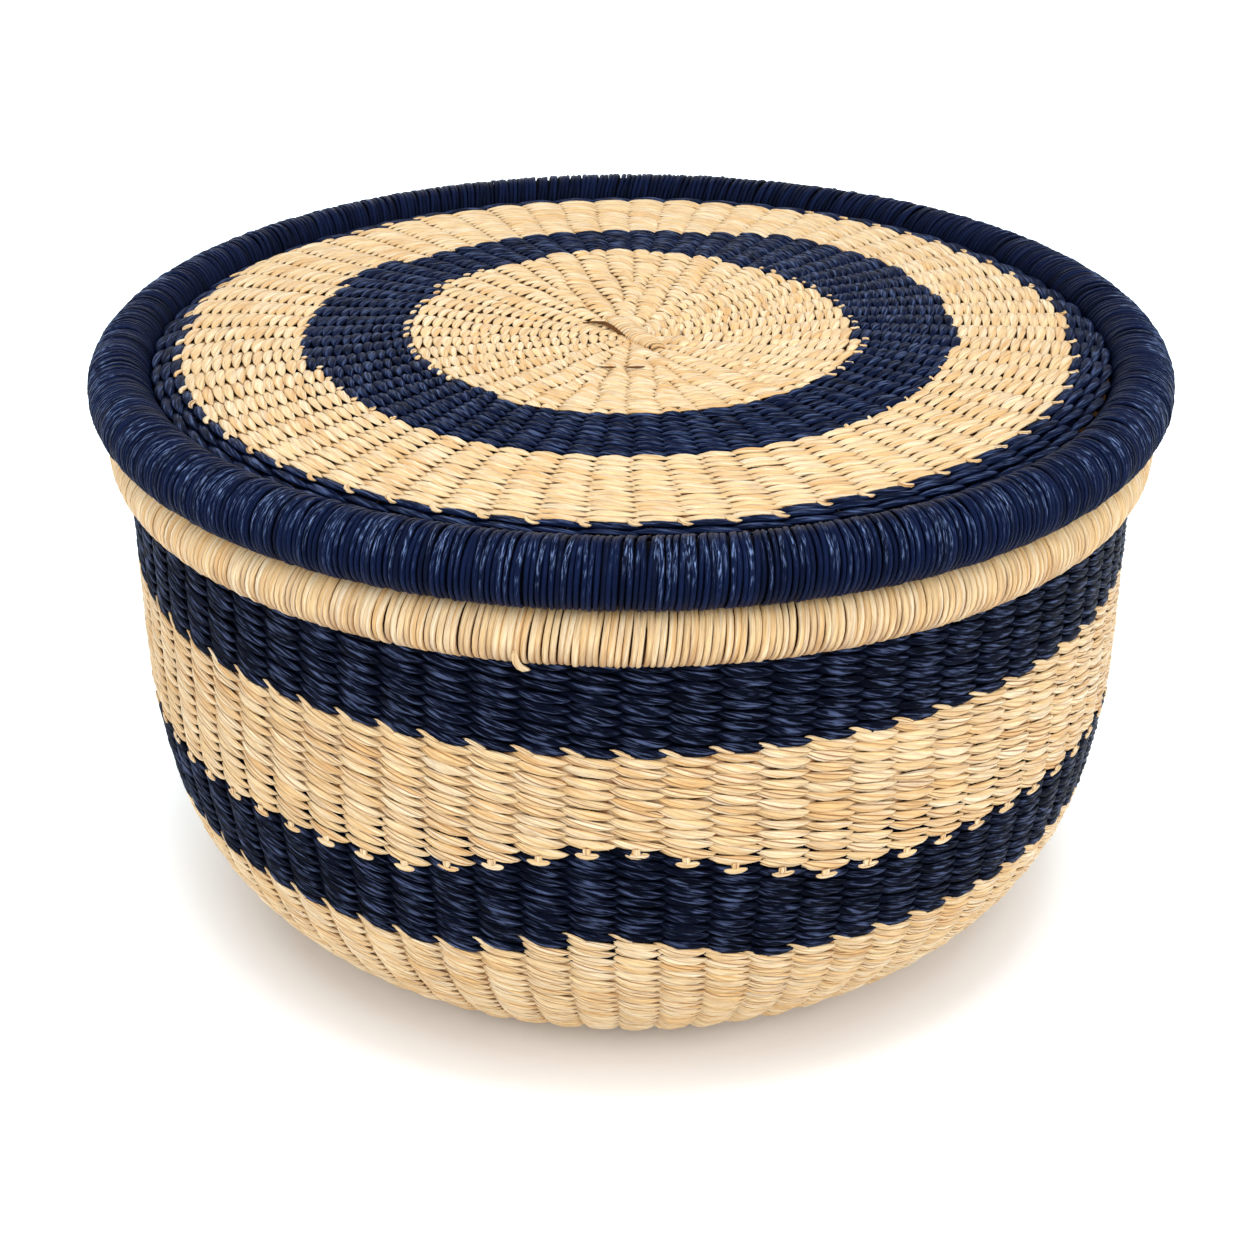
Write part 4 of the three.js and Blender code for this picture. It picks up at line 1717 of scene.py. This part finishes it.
@dataclass(frozen=True)
class CrossingRib:
    """The thick rib across the middle of the lid, where the first stakes cross and are wrapped over.

    Attributes:
        start: One end of the rib, from the middle of the lid.
        end: The other end.
        half_span: Half its width.
        rise: How far it stands out of the lid.
        wraps: How many turns lie over it.
    """

    start: tuple[float, float] = (-8.6 * MM, 20.5 * MM)
    end: tuple[float, float] = (12 * MM, -16 * MM)
    half_span: float = 4.2 * MM
    rise: float = 2.8 * MM
    wraps: int = 18

    def shadow_strands(self, face: LidFace) -> MeshParts:
        """Builds dark strands beside the rib, as painted shadow along its side.

        Args:
            face: The face that they lie on.

        Returns:
            The numbers of one mesh.
        """
        parts = []
        for size, stops in CENTRE_SHADOW_STRANDS:
            x, y = np.array(stops).T[:, None] * MM
            middle = np.stack([x, y, face.face(np.hypot(x, y))[1] + 0.05 * MM], axis=-1)
            out = np.broadcast_to((0.0, 0.0, 1.0), middle.shape)
            wide = size * np.array([[0.2, 0.6, 0.95, 1.1, 0.8, 0.2]]) * MM
            deep = 0.5 * wide + 0.15 * MM
            path = Path(middle, square_side(middle, out), out, wide, deep, shade=np.ones(x.shape))
            parts.append(Strand(fibres=3, groove=0.1, twist=0.3).along(path, np.random.default_rng(2)))
        return merge(parts)

    def parts(self, face: LidFace, rng: Random) -> MeshParts:
        """Builds the turns over the rib.

        Args:
            face: The face that the rib lies on.
            rng: The source of the small differences.

        Returns:
            The numbers of one mesh.
        """
        slant, stray, sunk, half_width, half_depth = in_mm(1.4, 0.2, 0.6, 1.25, 0.7)
        start = Vector((*self.start, 0))
        way = Vector((*self.end, 0)) - start
        length, way = way.length, way.normalized()
        share = (np.arange(self.wraps)[:, None] + 0.5) / self.wraps
        about = np.radians(np.linspace(-14, 194, 11))[None]
        size = (1 - np.abs(2 * share - 1) ** 5) ** 0.5 * rng.normal(1, 0.04, share.shape)
        along = length * share + slant * np.cos(about) + rng.normal(0, stray, share.shape)
        aside = self.half_span * size * np.cos(about)
        x = start.x + along * way.x - aside * way.y
        y = start.y + along * way.y + aside * way.x
        height = face.face(np.hypot(x, y))[1] + self.rise * size * np.sin(about) - sunk
        flat = np.cos(about)
        middle, out = (
            np.stack(np.broadcast_arrays(*point), axis=-1)
            for point in ((x, y, height), (-flat * way.y, flat * way.x, np.sin(about) + 0 * x))
        )
        # Painted shade on the sides of each turn, where it meets the face of the lid
        path = Path(
            middle, np.broadcast_to(-np.array(way), middle.shape), out,
            np.full(x.shape, half_width), np.full(x.shape, half_depth),
            np.broadcast_to(0.45 * np.abs(flat) ** 3, x.shape),
        )
        return Strand(fibres=5, groove=0.3, twist=math.radians(90), shape=3.0).along(path, rng)


@dataclass
class Lid:
    """The lid: a disc twined from the middle out, and a wound rim that laps over the bowl's.

    Attributes:
        row_pitch: The distance between two rows.
        first_radius: The radius of the first row.
        column_centre: The angle of a valley between two columns at the front.
        stages: The radius from which each number of columns holds.
        body: The CAD body.
    """

    row_pitch: float = 4.2 * MM
    first_radius: float = 4 * MM
    column_centre: float = 0.0
    stages: tuple[tuple[float, int], ...] = (
        (0.0, 11), (24 * MM, 22), (40 * MM, 33), (62 * MM, 44), (94 * MM, 66),
    )
    body: str = "lid"

    def __post_init__(self) -> None:
        """Fits the weave and the rim to the frame."""
        nodes = [f"lid_{part}_weft_top" for part in ("centre", "navy", "natural", "border")]
        edges = [Reach.of(node).outer for node in nodes]
        heights = [top_height(node, edge) for node, edge in zip(nodes, edges)]
        top, under = Reach.of(nodes[-1]), Reach.of("lid_border_weft_under")
        weft = Reach.of("upper_navy_weft_outer")
        thickness = top.low - under.low + weft.outer - weft.inner
        lines = np.arange(self.first_radius, edges[-1], self.row_pitch)
        starts = [int(np.searchsorted(lines, edge)) for edge in edges[:-1]]
        self.face = LidFace((0.0, *edges), (top_height(nodes[0], 0.0), *heights), thickness)
        self.weave = Weave(
            name="Lid",
            body=self.body,
            maker=StitchMaker(self.face, Waver(seed=23, along=0.6 * MM, around=math.radians(0.3))),
            faces={Face.SHOWN: "top", Face.HIDDEN: "under"},
            columns=Columns(self.stages, self.column_centre, settling=16 * MM),
            lines=lines,
            height=0.97,
            bands=(
                Band("Centre", Grass.NATURAL, "lid_centre", first_row=0),
                Band(
                    "Navy", Grass.LID_NAVY, "lid_navy", starts[0], edge=Edge.HOOKS,
                    ends_between=(48.0, 140.0),
                    wander=(
                        (0, 60, 100, 140, 162, 187, 217, 262, 300, 355),
                        (1, 1, 0, 0, 1, 2, 1, 0, 0, 1),
                    ),
                ),
                Band(
                    "Natural", Grass.NATURAL, "lid_natural", starts[1], edge=Edge.KNOBS,
                    ends_between=(40.0, 150.0),
                    wander=(
                        (0, 60, 100, 125, 150, 165, 225, 232, 262, 320),
                        (-1, -1, 0, 2, 2, -1, -1, 1, 0, -1),
                    ),
                ),
                Band(
                    "Border", Grass.LID_NAVY, "lid_border", starts[2], edge=Edge.HOOKS,
                    ends_between=(0.0, 150.0),
                    wander=((0, 30, 82, 100, 225, 235, 255, 265), (0, -1, -1, 0, 0, 2, 1, 0)),
                ),
            ),
            swatches=(
                Swatch("Disc", 75 * MM, LID_STITCH),
                Swatch("Rings", 150 * MM, LID_STITCH),
                Swatch("Edge", 1.0, LID_STITCH),
            ),
            bulges=(in_mm(8, 22, 60, 110), in_mm(1.2, 2.1, 1.9, 1.5)),
        )
        winding = Winding(
            RimSize.of(self.body), turns=640, half_width=1.1 * MM, half_depth=0.9 * MM,
            join=math.radians(-170), lean=0.08, crossing=0.42, slant=0.2, sink=0.45 * MM, inward=1.8,
            strand=replace(WOUND_STRAND, fibres=3),
        )
        self.rim = Rim(self.body, winding, STAINED_SHADED_CORE_GRASS, NAVY_LASHING)

    def build(self, workshop: Workshop) -> None:
        """Makes every piece of the lid.

        Args:
            workshop: Makes the pieces.
        """
        rng = np.random.default_rng(17)
        self.weave.build(workshop, rng)
        self.weave.build_inside(workshop, "lid_stakes")
        rib = CrossingRib()
        workshop.piece(
            "Lid_CrossingRib", rib.parts(self.face, rng), NATURAL_GRASS, self.body, "lid_centre_weft_top"
        )
        workshop.piece("Lid_CentreSeams", rib.shadow_strands(self.face), STAKE_GRASS, self.body, "lid_stakes")
        self.rim.build(workshop, rng)


# Camera, light and floor


@dataclass(frozen=True)
class Studio:
    """The photograph's view, with soft light on a pale floor.

    Attributes:
        target: The point that the camera looks at.
        distance: How far the camera is from it.
        elevation: The angle from which it looks down.
        focal_length: Its focal length in millimetres.
        sensor: The width of its sensor in millimetres.
        lamps: The name, the place, the width and the power of each lamp.
        fill: The strength of the light from all round.
        near_glow: The distances between which the floor's glow begins, and its strength. This glow is
            painted light that lightens the basket's shadow away from its foot.
        far_glow: The distances between which it grows further out, and its strength.
    """

    target: tuple[float, float, float] = (-1.72 * MM, 0, 115.4 * MM)
    distance: float = 1054.8 * MM
    elevation: float = math.radians(27.71)
    focal_length: float = 66.03
    sensor: float = 36.0
    lamps: tuple[tuple[str, tuple[float, float, float], float, float], ...] = (
        ("Key", (0.1, -0.45, 2.0), 0.8, 17.0),
        ("BackLamp", (-0.2, 1.8, 1.0), 1.4, 6.0),
        ("FrontLamp", (0.35, -1.7, 1.35), 1.4, 19.5),
        ("LeftLamp", (-1.7, -0.8, 0.8), 1.2, 14.0),
        ("RightLamp", (1.7, -0.8, 0.8), 1.2, 12.0),
    )
    fill: float = 0.37
    near_glow: tuple[float, float, float] = (0.17, 0.26, 0.65)
    far_glow: tuple[float, float, float] = (0.5, 1.6, 0.8)

    def build(self) -> None:
        """Sets up the camera, the lamps, the world and the floor."""
        self.build_camera()
        self.build_lamps()
        self.build_world()
        self.build_floor()

    def build_lamps(self) -> None:
        """Adds a soft key overhead, and weaker and larger lamps all round."""
        for name, place, size, power in self.lamps:
            data = bpy.data.lights.new(name, "AREA")
            data.shape = "DISK"
            data.size = size
            data.energy = power
            lamp = add_object(name, data)
            lamp.location = place
            aim = Vector((0, 0, 0.15)) - lamp.location
            lamp.rotation_euler = aim.to_track_quat("-Z", "Y").to_euler()

    def build_camera(self) -> None:
        """Adds the camera."""
        data = bpy.data.cameras.new("Camera")
        data.lens = self.focal_length
        data.sensor_width = self.sensor
        data.sensor_fit = "HORIZONTAL"
        data.clip_start = 0.05
        camera = add_object("Camera", data)
        back = Vector((0, -math.cos(self.elevation), math.sin(self.elevation)))
        camera.location = Vector(self.target) + self.distance * back
        camera.rotation_euler = (math.pi / 2 - self.elevation, 0, 0)
        bpy.context.scene.camera = camera

    def build_world(self) -> None:
        """Makes a pale world that the camera sees as white."""
        world = bpy.data.worlds.new("Studio")
        wire = Wiring.of(world)
        seen, light = (
            wire.node("ShaderNodeBackground", {"Color": (1, 1, 1, 1), "Strength": strength}).outputs[0]
            for strength in (1.0, self.fill)
        )
        wire.node("ShaderNodeOutputWorld", {"Surface": wire.only_seen(seen, light)})
        bpy.context.scene.world = world

    def build_floor(self) -> None:
        """Adds the floor, which shows white with the basket's soft shadow on it. Its glow is painted light,
        which grows with the distance from the basket and is tinted blue against the warm light that the
        basket throws on it.
        """
        reach, level = 8.0, -0.5 * MM
        mesh = bpy.data.meshes.new("Floor")
        sides = ((-reach, -reach), (reach, -reach), (reach, reach), (-reach, reach))
        mesh.from_pydata([(x, y, level) for x, y in sides], [], [(0, 1, 2, 3)])
        material = bpy.data.materials.new("Floor")
        wire = Wiring.of(material)
        matt = wire.node("ShaderNodeBsdfDiffuse", {"Color": (0.93, 0.93, 0.93, 1)}).outputs[0]
        place = wire.node("ShaderNodeNewGeometry").outputs["Position"]
        away = wire.node("ShaderNodeVectorMath", {0: place}, operation="LENGTH").outputs["Value"]
        near, far = (
            wire.times(wire.spread(away, low, high), strength)
            for low, high, strength in (self.near_glow, self.far_glow)
        )
        # Painted light, bluish against the warm light bounced from the basket
        feeds = {"Color": (0.78, 0.92, 1.0, 1), "Strength": wire.plus(near, far)}
        glow = wire.node("ShaderNodeEmission", feeds).outputs[0]
        both = wire.node("ShaderNodeAddShader", {0: matt, 1: glow}).outputs[0]
        wire.node("ShaderNodeOutputMaterial", {"Surface": wire.only_seen(both, matt)})
        mesh.materials.append(material)
        add_object("Floor", mesh)


def corners(box: tuple[Vector, Vector]) -> list[list[float]]:
    """Turns a box of two corners into plain lists."""
    return [[float(value) for value in corner] for corner in box]


def main() -> None:
    """Builds the basket and its studio."""
    logging.basicConfig(level=logging.INFO, format="%(name)s: %(message)s")
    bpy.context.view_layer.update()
    bpy.context.scene.view_settings.view_transform = "Standard"
    Studio().build()
    workshop = Workshop()
    Bowl().build(workshop)
    Lid().build(workshop)


if __name__ == "__main__":
    main()
